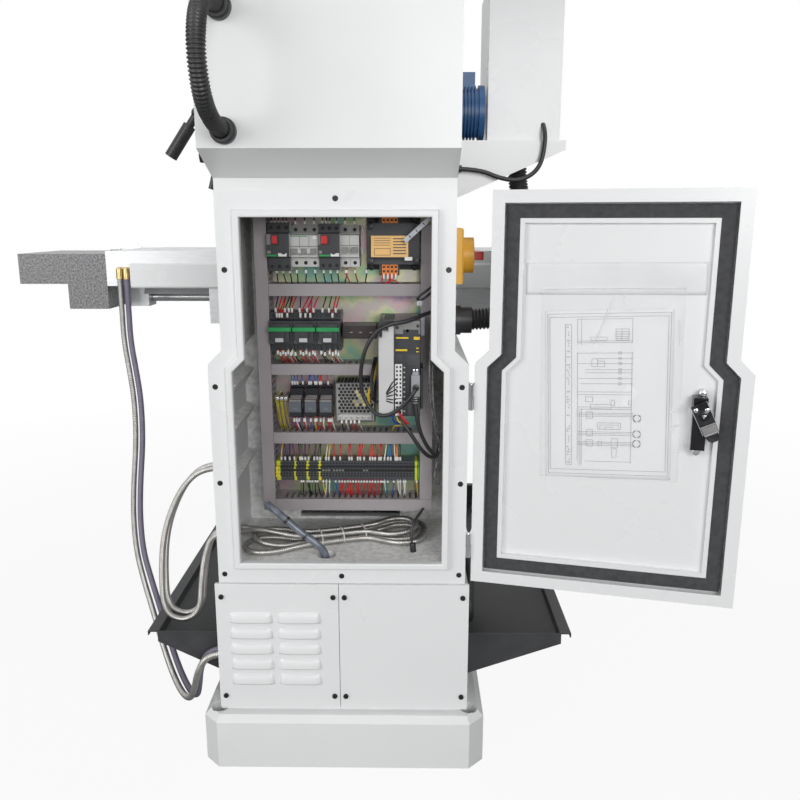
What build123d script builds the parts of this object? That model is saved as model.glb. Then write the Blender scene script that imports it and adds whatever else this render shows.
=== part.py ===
from build123d import *
import os
from math import atan2, cos, degrees, pi, radians, sin, tan

# Universal milling machine seen from its rear, with the electrical cabinet open.
# Frame: origin on the floor under the middle of the column, +Z up, the operator
# stands at -Y, the cabinet opens towards +Y and +X is the operator's right.

os.makedirs("parts", exist_ok=True)

# Clearances
slide_gap = 0.3
fit_gap = 0.05
seat_gap = 0.3

# Column and its rear frame
back_y = 300.0
column_front = -180.0
sheet = 3.0
half_top = 212.0
half_low = 238.0
half_foot = 246.0
column_top = 1141.0
frame_top = 1120.0
flare_high = 838.0
flare_low = 813.0
seam_z = 385.0
foot_bevel = 15.0
wall = 18.0
web_y = 58.0
column_back = back_y - sheet

# Base and tray
base_height = 110.0
base_half = 280.0
base_back = 330.0
base_front = -620.0
anchor_hole = 18.0
anchor_x = 250.0
anchor_back = 290.0
anchor_front = -570.0
tray_left = 384.0
tray_right = -440.0
tray_back = 245.0
tray_front = -690.0
tray_rim = 250.0
tray_wall = 23.0
tray_slope = 0.49
tray_sheet = 2.0
tray_flange = 20.0
tray_hem = 9.0

# Cabinet opening and cavity
open_top_half = 168.0
open_low_half = 192.0
open_top = 1074.0
open_bottom = 429.0
open_flare_high = 823.0
open_flare_low = 800.0
lip_width = 13.0
lip_height = 11.0
cavity_top_half = 196.0
cavity_low_half = 220.0
cavity_top = 1100.0
floor_z = 424.0

# Door, hinged on the -X edge and standing open
door_angle = 166.7
hinge_x = -half_low - 5.0
hinge_y = back_y - 4.0
hinge_barrel = 4.5
hinge_heights = (752.0, 462.0)
hinge_length = 48.0
door_gap = 2.0
door_depth = 24.0
door_lip = 22.0
door_sheet = 2.0
gasket_width = 24.0
gasket_depth = 11.0
rim_width = 8.0
rim_height = 10.0
door_top = 1120.5
door_bottom = 387.0

# Electrical plate and what hangs on it
plate_y = 140.0
plate_half = 176.0
plate_low = 480.0
plate_high = 1098.0
rail_height = 7.5
rail_width = 35.0
duct_width = 24.0
duct_depth = 60.0
duct_wall = 1.5
module_pitch = 17.5

# Headstock, ram and vertical head
head_half = 212.0
head_top = 1420.0
head_front = -222.0
head_rear = 400.0
head_overhang_z = 1181.0
spindle_z = 1270.0
spindle_shaft = 45.0
nose_radius = 44.44
nose_length = 40.0
taper_radius = 22.22
ram_half = 105.0
ram_top = 1620.0
ram_front = -430.0
ram_rear = 430.0
ram_way_half = 70.0
ram_way_flare = 20.0
ram_way_height = 34.0
swivel_z = 1520.0
swivel_radius = 115.0
flange_thickness = 20.0
vertical_y = -545.0
quill_radius = 43.0
quill_low = 1290.0
quill_high = 1505.0
quill_travel = 80.0
nose_low = 1250.0

# Knee, saddle and table
way_half = 100.0
way_flare = 25.0
way_depth = 42.0
knee_half = 150.0
knee_top = 812.0
knee_bottom = 540.0
knee_front = -700.0
saddle_way_half = 70.0
saddle_way_flare = 20.0
saddle_way_height = 36.0
screw_y = -440.0
lift_radius = 18.0
pedestal_top = 480.0
pedestal_radius = 45.0
saddle_low_x = -250.0
saddle_high_x = 380.0
saddle_back = -305.0
saddle_front = -595.0
table_top = 996.0
table_under = 920.0
table_way_low = 884.0
table_half = 572.0
table_back = -300.0
table_front = -600.0
table_mid = (table_back + table_front) / 2
table_way_half = 80.0
table_way_flare = 25.0
bracket_length = 64.0
slot_width = 14.0
slot_pitch = 70.0
lead_z = 868.0
lead_radius = 12.0


def at_depth(y):
    """The vertical plane facing -Y at depth y: its own x and y are the machine's X and Z."""
    return Plane.XZ.offset(-y)


def at_side(x):
    """The vertical plane facing +X at x: its own x and y are the machine's Y and Z."""
    return Plane.YZ.offset(x)


def middle(span):
    """The middle of a low and high value."""
    return (span[0] + span[1]) / 2


def block(x_span, y_span, z_span, mode=Mode.ADD):
    """A box from its low and high values along each axis."""
    with Locations((middle(x_span), middle(y_span), middle(z_span))):
        Box(x_span[1] - x_span[0], y_span[1] - y_span[0], z_span[1] - z_span[0], mode=mode)


def rod(start, direction, radius, length, mode=Mode.ADD):
    """A cylinder that starts at a point and runs along a direction."""
    with Locations(Plane(origin=start, z_dir=direction)):
        Cylinder(radius, length, align=(Align.CENTER, Align.CENTER, Align.MIN), mode=mode)


def flared_outline(top_half, low_half, top, flare_from, flare_to, bottom):
    """Corners of the column's back view: narrow above, flared to a wider lower part."""
    return [
        (-low_half, bottom),
        (low_half, bottom),
        (low_half, flare_to),
        (top_half, flare_from),
        (top_half, top),
        (-top_half, top),
        (-top_half, flare_from),
        (-low_half, flare_to),
    ]


def dovetail(base_half, flare, base, height):
    """Corners of a dovetail way's section, narrow at its base, wide at its face."""
    return [
        (-base_half, base),
        (base_half, base),
        (base_half + flare, base + height),
        (-base_half - flare, base + height),
    ]


# Base plinth: cast foot with four anchor holes, jacking recesses and the knee screw's pedestal
with BuildPart() as base_plinth:
    with BuildSketch(Plane.XY) as plinth_plan:
        with Locations((0, (base_back + base_front) / 2)):
            Rectangle(2 * base_half, base_back - base_front)
        chamfer(plinth_plan.vertices(), 30)
    extrude(amount=base_height)
    chamfer(base_plinth.faces().sort_by(Axis.Z)[-1].edges(), 12)
    for side in (-1, 1):
        for y in (base_back - 190, base_front + 190):
            block((side * base_half - 30, side * base_half + 30), (y - 70, y + 70), (-1, 45), Mode.SUBTRACT)
    for x in (-anchor_x, anchor_x):
        for y in (anchor_back, anchor_front):
            rod((x, y, -1), (0, 0, 1), anchor_hole / 2, base_height + 2, Mode.SUBTRACT)
            rod((x, y, 30), (0, 0, 1), anchor_hole, base_height, Mode.SUBTRACT)
    rod((0, screw_y, base_height - 1), (0, 0, 1), pedestal_radius, pedestal_top - base_height + 1)
    rod((0, screw_y, base_height - 1), (0, 0, 1), pedestal_radius + 20, 30)
    rod((0, screw_y, base_height + 5), (0, 0, 1), lift_radius + 0.6, pedestal_top - base_height, Mode.SUBTRACT)
base_plinth.part.label = "base_plinth"
export_step(base_plinth.part, "parts/base_plinth.step")

# Chip tray: folded sheet hopper round the column, V floor, flanged rims with a small hem
tray_centre_low = tray_rim - tray_wall - tray_slope * (tray_left - half_low)


def tray_section(inset, top):
    """Back view of the tray's hollow, set in by the sheet's thickness."""
    edge = tray_rim - tray_wall + inset
    low = tray_centre_low + inset
    return [
        (tray_right + inset, top),
        (tray_right + inset, edge),
        (-half_low, low),
        (half_low, low),
        (tray_left - inset, edge),
        (tray_left - inset, top),
    ]


with BuildPart() as chip_tray:
    with BuildSketch(at_depth(tray_back)):
        with BuildLine():
            Polyline(*tray_section(0, tray_rim), close=True)
        make_face()
    extrude(amount=tray_back - tray_front)
    with BuildSketch(at_depth(tray_back - tray_sheet)):
        with BuildLine():
            Polyline(*tray_section(tray_sheet, tray_rim + 1), close=True)
        make_face()
    extrude(amount=tray_back - tray_front - 2 * tray_sheet, mode=Mode.SUBTRACT)
    for rim_x, outward in ((tray_left, 1), (tray_right, -1)):
        flange = sorted((rim_x, rim_x + outward * tray_flange))
        hem = sorted((rim_x + outward * (tray_flange - tray_sheet), rim_x + outward * tray_flange))
        block(flange, (tray_front, tray_back), (tray_rim - tray_sheet, tray_rim))
        block(hem, (tray_front, tray_back), (tray_rim - tray_hem, tray_rim))
    block((tray_right, tray_left), (tray_front - tray_flange, tray_front), (tray_rim - tray_sheet, tray_rim))
    block(
        (-half_foot - seat_gap, half_foot + seat_gap),
        (column_front - seat_gap, tray_back + 1),
        (0, tray_rim + 1),
        Mode.SUBTRACT,
    )
    block(
        (-way_half - way_flare - seat_gap, way_half + way_flare + seat_gap),
        (column_front - way_depth - seat_gap, column_front),
        (0, tray_rim + 1),
        Mode.SUBTRACT,
    )
    rod((0, screw_y, 0), (0, 0, 1), pedestal_radius + seat_gap, tray_rim, Mode.SUBTRACT)
chip_tray.part.label = "chip_tray"
export_step(chip_tray.part, "parts/chip_tray.step")

# Screw places on the frame and on the lower covers, as (X, Z)
frame_screw_places = [
    (0, 1106),
    (199, 983),
    (-199, 983),
    (226, 771),
    (-226, 771),
    (226, 586),
    (-226, 586),
    (226, 402),
    (-226, 402),
    (0, 399),
]
cover_split = 6.0
cover_low = 118.0
cover_high = seam_z - 2.0
cover_depth = 8.0
cover_inset = 12.0
cover_screw_places = [
    (half_foot - cover_inset, cover_high - 26),
    (cover_split + cover_inset - 1, cover_high - 26),
    (cover_split - cover_inset + 1, cover_high - 26),
    (-half_foot + cover_inset, cover_high - 26),
    (half_foot - cover_inset, cover_low + 26),
    (cover_split + cover_inset - 1, cover_low + 26),
    (cover_split - cover_inset + 1, cover_low + 26),
    (-half_foot + cover_inset, cover_low + 26),
]
screw_shank = 3.0
screw_head = 5.0
screw_length = 14.0

# Column: hollow casting with the cabinet recess at its back and a dovetail way in front
column_side = 140.0
nose_half = 190.0
with BuildPart() as column_casting:
    outline = flared_outline(half_top, half_low, column_top, flare_high, flare_low, seam_z)
    outline[0:2] = [
        (-half_low, seam_z),
        (-half_foot, seam_z - foot_bevel),
        (-half_foot, base_height),
        (half_foot, base_height),
        (half_foot, seam_z - foot_bevel),
        (half_low, seam_z),
    ]
    with BuildSketch(at_depth(column_back)):
        with BuildLine():
            Polyline(*outline, close=True)
        make_face()
    extrude(amount=column_back - column_front)
    with BuildSketch(Plane.XY):
        for side in (-1, 1):
            with BuildLine():
                Polyline(
                    (side * nose_half, column_front - 1),
                    (side * 300, column_front - 1),
                    (side * 300, -column_side),
                    (side * (half_top - 4), -column_side),
                    close=True,
                )
            make_face()
    extrude(amount=column_top + 1, mode=Mode.SUBTRACT)
    # dovetail way for the knee
    with BuildSketch(Plane.XY.offset(base_height)):
        with BuildLine():
            Polyline(*[(x, -y) for x, y in dovetail(way_half, way_flare, -column_front, way_depth)], close=True)
        make_face()
    extrude(amount=1110 - base_height)
    # cabinet recess
    with BuildSketch(at_depth(column_back)):
        with BuildLine():
            Polyline(
                *flared_outline(cavity_top_half, cavity_low_half, cavity_top, flare_high, flare_low, floor_z),
                close=True,
            )
        make_face()
    extrude(amount=column_back - web_y, mode=Mode.SUBTRACT)
    # compartment behind the lower covers
    block((-half_foot + wall, half_foot - wall), (80, column_back + 1), (base_height + 22, seam_z - 20), Mode.SUBTRACT)
    block((cover_split - 28, cover_split + 28), (262, column_back), (base_height + 20, seam_z - 18))
    # chamber in front of the web, with two windows through it
    block((-nose_half + 30, nose_half - 30), (column_front + wall + 6, web_y - wall), (150, cavity_top), Mode.SUBTRACT)
    block((-110, 110), (0, web_y + 1), (floor_z + 6, 540), Mode.SUBTRACT)
    block((-90, 90), (0, web_y + 1), (930, 1050), Mode.SUBTRACT)
    # ledges left by the casting's ribs on the recess's side walls
    for ledge_z in (770, 690, 590):
        for side in (-1, 1):
            with BuildSketch(at_depth(web_y + 190)):
                with BuildLine():
                    Polyline(
                        (side * (cavity_low_half + 1), ledge_z),
                        (side * (cavity_low_half - 20), ledge_z - 6),
                        (side * (cavity_low_half + 1), ledge_z - 40),
                        close=True,
                    )
                make_face()
            extrude(amount=190)
    # cable hole in the recess's floor and conduit holes in its +X wall
    rod((33, 255, floor_z - 70), (0, 0, 1), 20, 80, Mode.SUBTRACT)
    for y in (168, 196):
        rod((cavity_low_half - 1, y, 446), (1, 0, 0), 9, wall + 30, Mode.SUBTRACT)
    for y in (262, 282):
        rod((half_foot - wall - 1, y, 222), (1, 0, 0), 9, wall + 10, Mode.SUBTRACT)
    # tapped holes for the frame's and the covers' screws
    for x, z in frame_screw_places:
        rod((x, column_back + 1, z), (0, -1, 0), screw_shank + fit_gap, screw_length + 1, Mode.SUBTRACT)
    for x, z in cover_screw_places:
        rod((x, column_back + 1, z), (0, -1, 0), screw_shank + fit_gap, screw_length + 1, Mode.SUBTRACT)
column_casting.part.label = "column_casting"
export_step(column_casting.part, "parts/column_casting.step")

# Rear frame: folded sheet round the cabinet opening with a rolled lip for the door's seal
with BuildPart() as rear_frame:
    with BuildSketch(at_depth(back_y)):
        with BuildLine():
            Polyline(
                *flared_outline(half_top, half_low, frame_top, flare_high, flare_low, seam_z),
                close=True,
            )
        make_face()
        with BuildLine():
            Polyline(
                *flared_outline(
                    open_top_half, open_low_half, open_top, open_flare_high, open_flare_low, open_bottom
                ),
                close=True,
            )
        make_face(mode=Mode.SUBTRACT)
    extrude(amount=sheet)
    with BuildSketch(at_depth(back_y - 0.5)):
        with BuildLine():
            Polyline(
                *flared_outline(
                    open_top_half + lip_width,
                    open_low_half + lip_width,
                    open_top + lip_width,
                    open_flare_high + lip_width / 2,
                    open_flare_low + lip_width / 2,
                    open_bottom - lip_width,
                ),
                close=True,
            )
        make_face()
        with BuildLine():
            Polyline(
                *flared_outline(
                    open_top_half, open_low_half, open_top, open_flare_high, open_flare_low, open_bottom
                ),
                close=True,
            )
        make_face(mode=Mode.SUBTRACT)
    extrude(amount=-lip_height - 0.5)
    fillet(rear_frame.faces().sort_by(Axis.Y)[-1].edges(), 3.5)
    for x, z in frame_screw_places:
        rod((x, back_y + 1, z), (0, -1, 0), screw_head + 0.3, sheet + 2, Mode.SUBTRACT)
rear_frame.part.label = "rear_frame"
export_step(rear_frame.part, "parts/rear_frame.step")

# Lower covers: folded sheet pans, the +X one with two columns of louvres
louvre_width = 80.0
louvre_height = 20.0
louvre_pitch = 33.0
louvre_proud = 8.0
louvre_columns = (178.0, 84.0)
louvre_rows = [314.0 - row * louvre_pitch for row in range(5)]
cover_face = column_back + cover_depth


with BuildPart() as louvre_cover:
    block((cover_split + 0.5, half_foot), (column_back, cover_face), (cover_low, cover_high))
    block(
        (cover_split + 2.5, half_foot - 2),
        (column_back - 1, cover_face - 2),
        (cover_low + 2, cover_high - 2),
        Mode.SUBTRACT,
    )
    for centre_x in louvre_columns:
        for row_z in louvre_rows:
            with BuildSketch(at_side(centre_x - louvre_width / 2)):
                with BuildLine():
                    Polyline(
                        (cover_face - 2, row_z + louvre_height / 2),
                        (cover_face, row_z + louvre_height / 2),
                        (cover_face + louvre_proud, row_z - 2),
                        (cover_face + louvre_proud, row_z - louvre_height / 2),
                        (cover_face - 2, row_z - louvre_height / 2),
                        close=True,
                    )
                make_face()
            extrude(amount=louvre_width)
    for centre_x in louvre_columns:
        for row_z in louvre_rows:
            with BuildSketch(at_side(centre_x - louvre_width / 2 + 3)):
                with BuildLine():
                    Polyline(
                        (cover_face - 3, row_z + louvre_height / 2 - 3),
                        (cover_face - 1, row_z + louvre_height / 2 - 3),
                        (cover_face + louvre_proud - 2, row_z - 3),
                        (cover_face + louvre_proud - 2, row_z - louvre_height / 2 - 1),
                        (cover_face - 3, row_z - louvre_height / 2 - 1),
                        close=True,
                    )
                make_face()
            extrude(amount=louvre_width - 6, mode=Mode.SUBTRACT)
    for x, z in cover_screw_places:
        rod((x, cover_face + 1, z), (0, -1, 0), screw_shank + 0.3, cover_depth + 2, Mode.SUBTRACT)
louvre_cover.part.label = "louvre_cover"
export_step(louvre_cover.part, "parts/louvre_cover.step")

with BuildPart() as plain_cover:
    block((-half_foot, cover_split - 0.5), (column_back, cover_face), (cover_low, cover_high))
    block(
        (-half_foot + 2, cover_split - 2.5),
        (column_back - 1, cover_face - 2),
        (cover_low + 2, cover_high - 2),
        Mode.SUBTRACT,
    )
    for x, z in cover_screw_places:
        rod((x, cover_face + 1, z), (0, -1, 0), screw_shank + 0.3, cover_depth + 2, Mode.SUBTRACT)
plain_cover.part.label = "plain_cover"
export_step(plain_cover.part, "parts/plain_cover.step")

# Screws of the frame and of the lower covers, with hexagon sockets
with BuildPart() as panel_screws:
    for x, z in frame_screw_places:
        rod((x, column_back - screw_length + 1, z), (0, 1, 0), screw_shank, screw_length - 1)
        rod((x, column_back, z), (0, 1, 0), screw_head, sheet)
    for x, z in cover_screw_places:
        rod((x, column_back - screw_length + 1, z), (0, 1, 0), screw_shank, screw_length - 1 + cover_depth)
        rod((x, cover_face, z), (0, 1, 0), screw_head, sheet)
    for places, face in ((frame_screw_places, back_y), (cover_screw_places, cover_face + sheet)):
        with BuildSketch(at_depth(face)):
            with Locations(*places):
                RegularPolygon(2.6, 6)
        extrude(amount=2, mode=Mode.SUBTRACT)
panel_screws.part.label = "panel_screws"
export_step(panel_screws.part, "parts/panel_screws.step")

# Mounting plate on four posts, with the hat rails that carry the devices
row_one = 1021.0
row_two = 860.0
row_three = 718.0
row_four = 575.0
rail_rows = ((row_one, -40, 139), (row_two, -70, 139), (row_three, -66, 108), (row_four, -150, 139))
post_radius = 7.0
with BuildPart() as mounting_plate:
    block((-plate_half, plate_half), (plate_y - sheet, plate_y), (plate_low, plate_high))
    for x in (-160, 160):
        for z in (plate_low + 70, plate_high - 20):
            rod((x, web_y, z), (0, 1, 0), post_radius, plate_y - sheet - web_y + 0.5)
    for rail_z, low_x, high_x in rail_rows:
        with BuildSketch(at_side(low_x)):
            with BuildLine():
                Polyline(
                    (plate_y - 0.5, rail_z - rail_width / 2 + 5),
                    (plate_y + rail_height, rail_z - rail_width / 2 + 5),
                    (plate_y + rail_height, rail_z - rail_width / 2),
                    (plate_y + rail_height - 1, rail_z - rail_width / 2),
                    (plate_y + rail_height - 1, rail_z - rail_width / 2 + 4),
                    (plate_y - 0.5, rail_z - rail_width / 2 + 4),
                    close=True,
                )
            make_face()
        extrude(amount=high_x - low_x)
        block((low_x, high_x), (plate_y - 0.5, plate_y + 1), (rail_z - rail_width / 2 + 4, rail_z + rail_width / 2 - 4))
        block(
            (low_x, high_x),
            (plate_y, plate_y + rail_height),
            (rail_z + rail_width / 2 - 5, rail_z + rail_width / 2 - 4),
        )
        block(
            (low_x, high_x),
            (plate_y + rail_height - 1, plate_y + rail_height),
            (rail_z + rail_width / 2 - 5, rail_z + rail_width / 2),
        )
mounting_plate.part.label = "mounting_plate"
export_step(mounting_plate.part, "parts/mounting_plate.step")

# Slotted wiring ducts with clip-on lids
duct_runs = [
    ((140, 164), (496, 1097), True),
    ((-175, -151), (520, 1060), True),
    ((-150.5, 139.5), (928, 951), False),
    ((-57, 139.5), (775, 796), False),
    ((-150.5, 139.5), (636, 658.5), False),
    ((-175, 139.5), (496, 519.5), False),
]
slot_step = 12.0
slot_cut = 5.0
duct_face = plate_y + duct_depth
with BuildPart() as wire_ducts:
    for x_span, z_span, upright in duct_runs:
        block(x_span, (plate_y, duct_face), z_span)
    for x_span, z_span, upright in duct_runs:
        block(
            (x_span[0] + duct_wall, x_span[1] - duct_wall),
            (plate_y + duct_wall, duct_face - duct_wall),
            (z_span[0] + duct_wall, z_span[1] - duct_wall),
            Mode.SUBTRACT,
        )
    for x_span, z_span, upright in duct_runs:
        run = z_span if upright else x_span
        count = int((run[1] - run[0] - 20) // slot_step)
        first = middle(run) - (count - 1) * slot_step / 2
        places = [first + number * slot_step for number in range(count)]
        slot_y = (plate_y + duct_face) / 2
        if upright:
            with Locations(*[(middle(x_span), slot_y, place) for place in places]):
                Box(duct_width + 2, duct_depth - 20, slot_cut, mode=Mode.SUBTRACT)
        else:
            with Locations(*[(place, slot_y, middle(z_span)) for place in places]):
                Box(slot_cut, duct_depth - 20, duct_width + 2, mode=Mode.SUBTRACT)
wire_ducts.part.label = "wire_ducts"
export_step(wire_ducts.part, "parts/wire_ducts.step")

# Rail-mounted devices: each has a side profile with shallow shoulders and a raised middle
rail_face = plate_y + rail_height


def device_profile(z_span, shoulder, nose, front):
    """Side view (Y, Z) of a rail device with terminals on its shoulders."""
    return [
        (rail_face, z_span[0]),
        (shoulder, z_span[0]),
        (shoulder, nose[0]),
        (front, nose[0] + 2),
        (front, nose[1] - 2),
        (shoulder, nose[1]),
        (shoulder, z_span[1]),
        (rail_face, z_span[1]),
    ]


def terminal_holes(centres, heights, shoulder):
    """Screw wells on the shoulders of a device."""
    with Locations(*[Plane(origin=(x, shoulder, z), z_dir=(0, 1, 0)) for x in centres for z in heights]):
        Cylinder(2.6, 8, mode=Mode.SUBTRACT)


breakers = [
    ((93.8, 137.0), (976, 1065), 205, (1001, 1047), 220),
    ((41.0, 93.4), (983, 1060), 196, (1000, 1044), 212),
    ((0.6, 40.6), (978, 1063), 205, (1001, 1047), 220),
    ((-17.2, 0.2), (983, 1060), 196, (1000, 1044), 212),
    ((-35.0, -17.6), (983, 1060), 196, (1000, 1044), 212),
]
with BuildPart() as circuit_breakers:
    for x_span, z_span, shoulder, nose, front in breakers:
        with BuildSketch(at_side(x_span[0])):
            with BuildLine():
                Polyline(*device_profile(z_span, shoulder, nose, front), close=True)
            make_face()
        extrude(amount=x_span[1] - x_span[0])
    block((115, 127), (215, 226), (1026, 1042))
    block((22, 35), (215, 226), (1026, 1042))
    block((46, 89), (208, 221), (1009, 1018))
    block((-13, -4), (208, 221), (1009, 1018))
    block((-31, -22), (208, 221), (1009, 1018))
    rod((105, 215, 1012), (0, 1, 0), 5, 7)
    rod((12, 215, 1012), (0, 1, 0), 5, 7)
    for x in (58.5, 76):
        block((x - 0.5, x + 0.5), (209, 213), (999, 1045), Mode.SUBTRACT)
    terminal_holes((101, 115.5, 130), (984, 1057), 205)
    terminal_holes((7.5, 20.5, 33.5), (986, 1055), 205)
    terminal_holes((49.7, 67.2, 84.7, -8.5, -26.3), (991, 1052), 196)
circuit_breakers.part.label = "circuit_breakers"
export_step(circuit_breakers.part, "parts/circuit_breakers.step")

contactor_pitch = 45.6
with BuildPart() as contactors:
    for number in range(3):
        low_x = 2.2 + number * contactor_pitch
        with BuildSketch(at_side(low_x)):
            with BuildLine():
                Polyline(*device_profile((823, 897), 198, (836, 884), 216), close=True)
            make_face()
        extrude(amount=contactor_pitch - 0.6)
        block((low_x + 5, low_x + 40), (214, 226), (842, 878))
        block((low_x + 14, low_x + 31), (224, 230), (850, 870))
        terminal_holes((low_x + 7, low_x + 17.5, low_x + 28, low_x + 38.5), (829, 891), 198)
contactors.part.label = "contactors"
export_step(contactors.part, "parts/contactors.step")

with BuildPart() as relays:
    for low_x, high_x in ((82, 107), (52, 76.5), (22, 47)):
        with BuildSketch(at_side(low_x)):
            with BuildLine():
                Polyline(*device_profile((683, 752), 172, (689, 746), 180), close=True)
            make_face()
        extrude(amount=high_x - low_x)
        block((low_x + 1, high_x - 1), (178, 205), (692, 726))
        terminal_holes((low_x + 6, high_x - 6), (686, 749), 172)
relays.part.label = "relays"
export_step(relays.part, "parts/relays.step")

with BuildPart() as power_supply:
    block((-63, 14), (rail_face, 215), (684, 762))
    chamfer(power_supply.faces().sort_by(Axis.Y)[-1].edges(), 2)
    with Locations(*[(-24.5 + 9 * number, 182, 762) for number in range(-3, 4)]):
        Box(3, 50, 8, mode=Mode.SUBTRACT)
    block((-58, 9), (208, 216), (686, 700), Mode.SUBTRACT)
    block((-57, 8), (200, 213), (688, 698))
    terminal_holes([-50 + 11 * number for number in range(6)], (693,), 213)
power_supply.part.label = "power_supply"
export_step(power_supply.part, "parts/power_supply.step")

with BuildPart() as transformer:
    block((-150, -46), (plate_y, plate_y + 4), (975, 1077))
    block((-148, -50), (plate_y + 3, 205), (988, 1064))
    block((-128, -58), (plate_y + 14, 225), (1001, 1042))
    block((-110, -72), (plate_y + 20, 196), (1052, 1077))
    block((-110, -72), (plate_y + 20, 196), (967, 990))
    for x in (-142, -56):
        rod((x, 204, 1058), (0, 1, 0), 4, 5)
        rod((x, 204, 994), (0, 1, 0), 4, 5)
    with Locations(*[(x, 194, z) for x in (-102, -91, -80) for z in (1065, 978)]):
        Box(7, 8, 12, mode=Mode.SUBTRACT)
transformer.part.label = "transformer"
export_step(transformer.part, "parts/transformer.step")

with BuildPart() as servo_drive:
    block((-149.5, -101), (plate_y, 275), (711, 889))
    block((-101.5, -74), (plate_y, 268), (711, 889))
    block((-113, -103), (270, 278), (738, 816))
    block((-141, -124), (270, 280), (748, 806))
    block((-146, -118), (270, 277), (838, 874))
    with Locations(*[(-112, 200, 706 + 5), (-112, 200, 889)]):
        Box(60, 90, 6, mode=Mode.SUBTRACT)
    with Locations(*[(-112, 160 + 13 * number, 886) for number in range(7)]):
        Box(60, 4, 6)
    with Locations(*[(-112, 160 + 13 * number, 714) for number in range(7)]):
        Box(60, 4, 6)
servo_drive.part.label = "servo_drive"
export_step(servo_drive.part, "parts/servo_drive.step")

# Terminal strip of the lowest rail, with the earth bar and one signal module
terminal_pitch = 6.2
with BuildPart() as terminal_strip:
    with BuildSketch(at_side(-150)):
        with BuildLine():
            Polyline(*device_profile((555, 596), 186, (564, 587), 195), close=True)
        make_face()
    extrude(amount=289)
    with Locations(*[(-146 + terminal_pitch * number, 195, 575.5) for number in range(46)]):
        Box(0.8, 8, 44, mode=Mode.SUBTRACT)
    block((109, 136), (182, 192), (719, 731))
    block((111, 117), (plate_y, 183), (721, 729))
    block((128, 134), (plate_y, 183), (721, 729))
    with Locations(*[Plane(origin=(x, 192, 725), z_dir=(0, 1, 0)) for x in (114, 122.5, 131)]):
        Cylinder(2.5, 4)
    block((-66, -1), (rail_face, 200), (846, 872))
terminal_strip.part.label = "terminal_strip"
export_step(terminal_strip.part, "parts/terminal_strip.step")

# Hinge halves on the column: leaf, lower knuckle and pin
knuckle = hinge_length / 2
with BuildPart() as frame_hinges:
    for z in hinge_heights:
        block((hinge_x + 2, hinge_x + 5), (hinge_y - 46, hinge_y - 5.5), (z - knuckle, z + knuckle))
        block((hinge_x + 2, hinge_x + 5), (hinge_y - 7, hinge_y), (z - knuckle, z - 0.3))
        rod((hinge_x, hinge_y, z - knuckle), (0, 0, 1), hinge_barrel, knuckle - 0.3)
        rod((hinge_x, hinge_y, z - 1), (0, 0, 1), 2, knuckle + 3)
        for step in (-14, 14):
            rod((hinge_x + 3, hinge_y - 28, z + step), (-1, 0, 0), 4, 3)
frame_hinges.part.label = "frame_hinges"
export_step(frame_hinges.part, "parts/frame_hinges.step")

# Main switch on the column's -X side: box and collar, with a separate turning knob
switch_y = 150.0
switch_z = 1003.0
switch_face = -half_top - 19.0
knob_shaft = 20.0
with BuildPart() as main_switch:
    block((switch_face, -half_top), (switch_y - 53, switch_y + 53), (switch_z - 52, switch_z + 52))
    chamfer(main_switch.faces().sort_by(Axis.X)[0].edges(), 3)
    rod((switch_face + 1, switch_y, switch_z), (-1, 0, 0), 34, 23)
    rod((switch_face - 23, switch_y, switch_z), (1, 0, 0), knob_shaft, 30, Mode.SUBTRACT)
main_switch.part.label = "main_switch"
export_step(main_switch.part, "parts/main_switch.step")

with BuildPart() as switch_knob:
    rod((switch_face - 23.5, switch_y, switch_z), (1, 0, 0), knob_shaft - fit_gap, 26)
    block((switch_face - 40, switch_face - 22.5), (switch_y - 33, switch_y + 33), (switch_z - 8, switch_z + 8))
    fillet(switch_knob.faces().sort_by(Axis.X)[0].edges(), 3)
switch_knob.part.label = "switch_knob"
export_step(switch_knob.part, "parts/switch_knob.step")

# Headstock housing: hollow casting on the column's top, with the horizontal spindle's bearing
# boss in front, the ram's dovetail way on top and a stud for the clamp lever
clamp_y = 200.0
clamp_z = 1185.0
boss_depth = 170.0
with BuildPart() as headstock_housing:
    with BuildSketch(at_side(-head_half)):
        with BuildLine():
            Polyline(
                (head_front, column_top),
                (back_y, column_top),
                (head_rear, head_overhang_z),
                (head_rear, head_top),
                (head_front, head_top),
                close=True,
            )
        make_face()
    extrude(amount=2 * head_half)
    with BuildSketch(Plane.XY.offset(column_top)):
        for side in (-1, 1):
            with BuildLine():
                Polyline(
                    (side * (nose_half - 8), head_front - 1),
                    (side * 300, head_front - 1),
                    (side * 300, -column_side),
                    (side * (half_top - 4), -column_side),
                    close=True,
                )
            make_face()
    extrude(amount=head_top - column_top + 1, mode=Mode.SUBTRACT)
    block((-170, 170), (head_front + 22, -column_side), (column_top - 1, head_top - 25), Mode.SUBTRACT)
    block((-190, 190), (-column_side - 1, 275), (column_top - 1, head_top - 25), Mode.SUBTRACT)
    block((-190, 190), (274, head_rear - 20), (1205, head_top - 25), Mode.SUBTRACT)
    rod((0, head_front, spindle_z), (0, 1, 0), 80, boss_depth)
    rod((0, head_front - 1, spindle_z), (0, 1, 0), spindle_shaft + fit_gap, boss_depth + 2, Mode.SUBTRACT)
    with BuildSketch(at_depth(head_rear)):
        with BuildLine():
            Polyline(*dovetail(ram_way_half, ram_way_flare, head_top, ram_way_height), close=True)
        make_face()
    extrude(amount=head_rear - head_front)
    rod((head_half - 1, clamp_y, clamp_z), (1, 0, 0), 8, 34)
    rod((head_half - 20, -100, 1380), (1, 0, 0), 14 + fit_gap, 22, Mode.SUBTRACT)
headstock_housing.part.label = "headstock_housing"
export_step(headstock_housing.part, "parts/headstock_housing.step")

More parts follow.
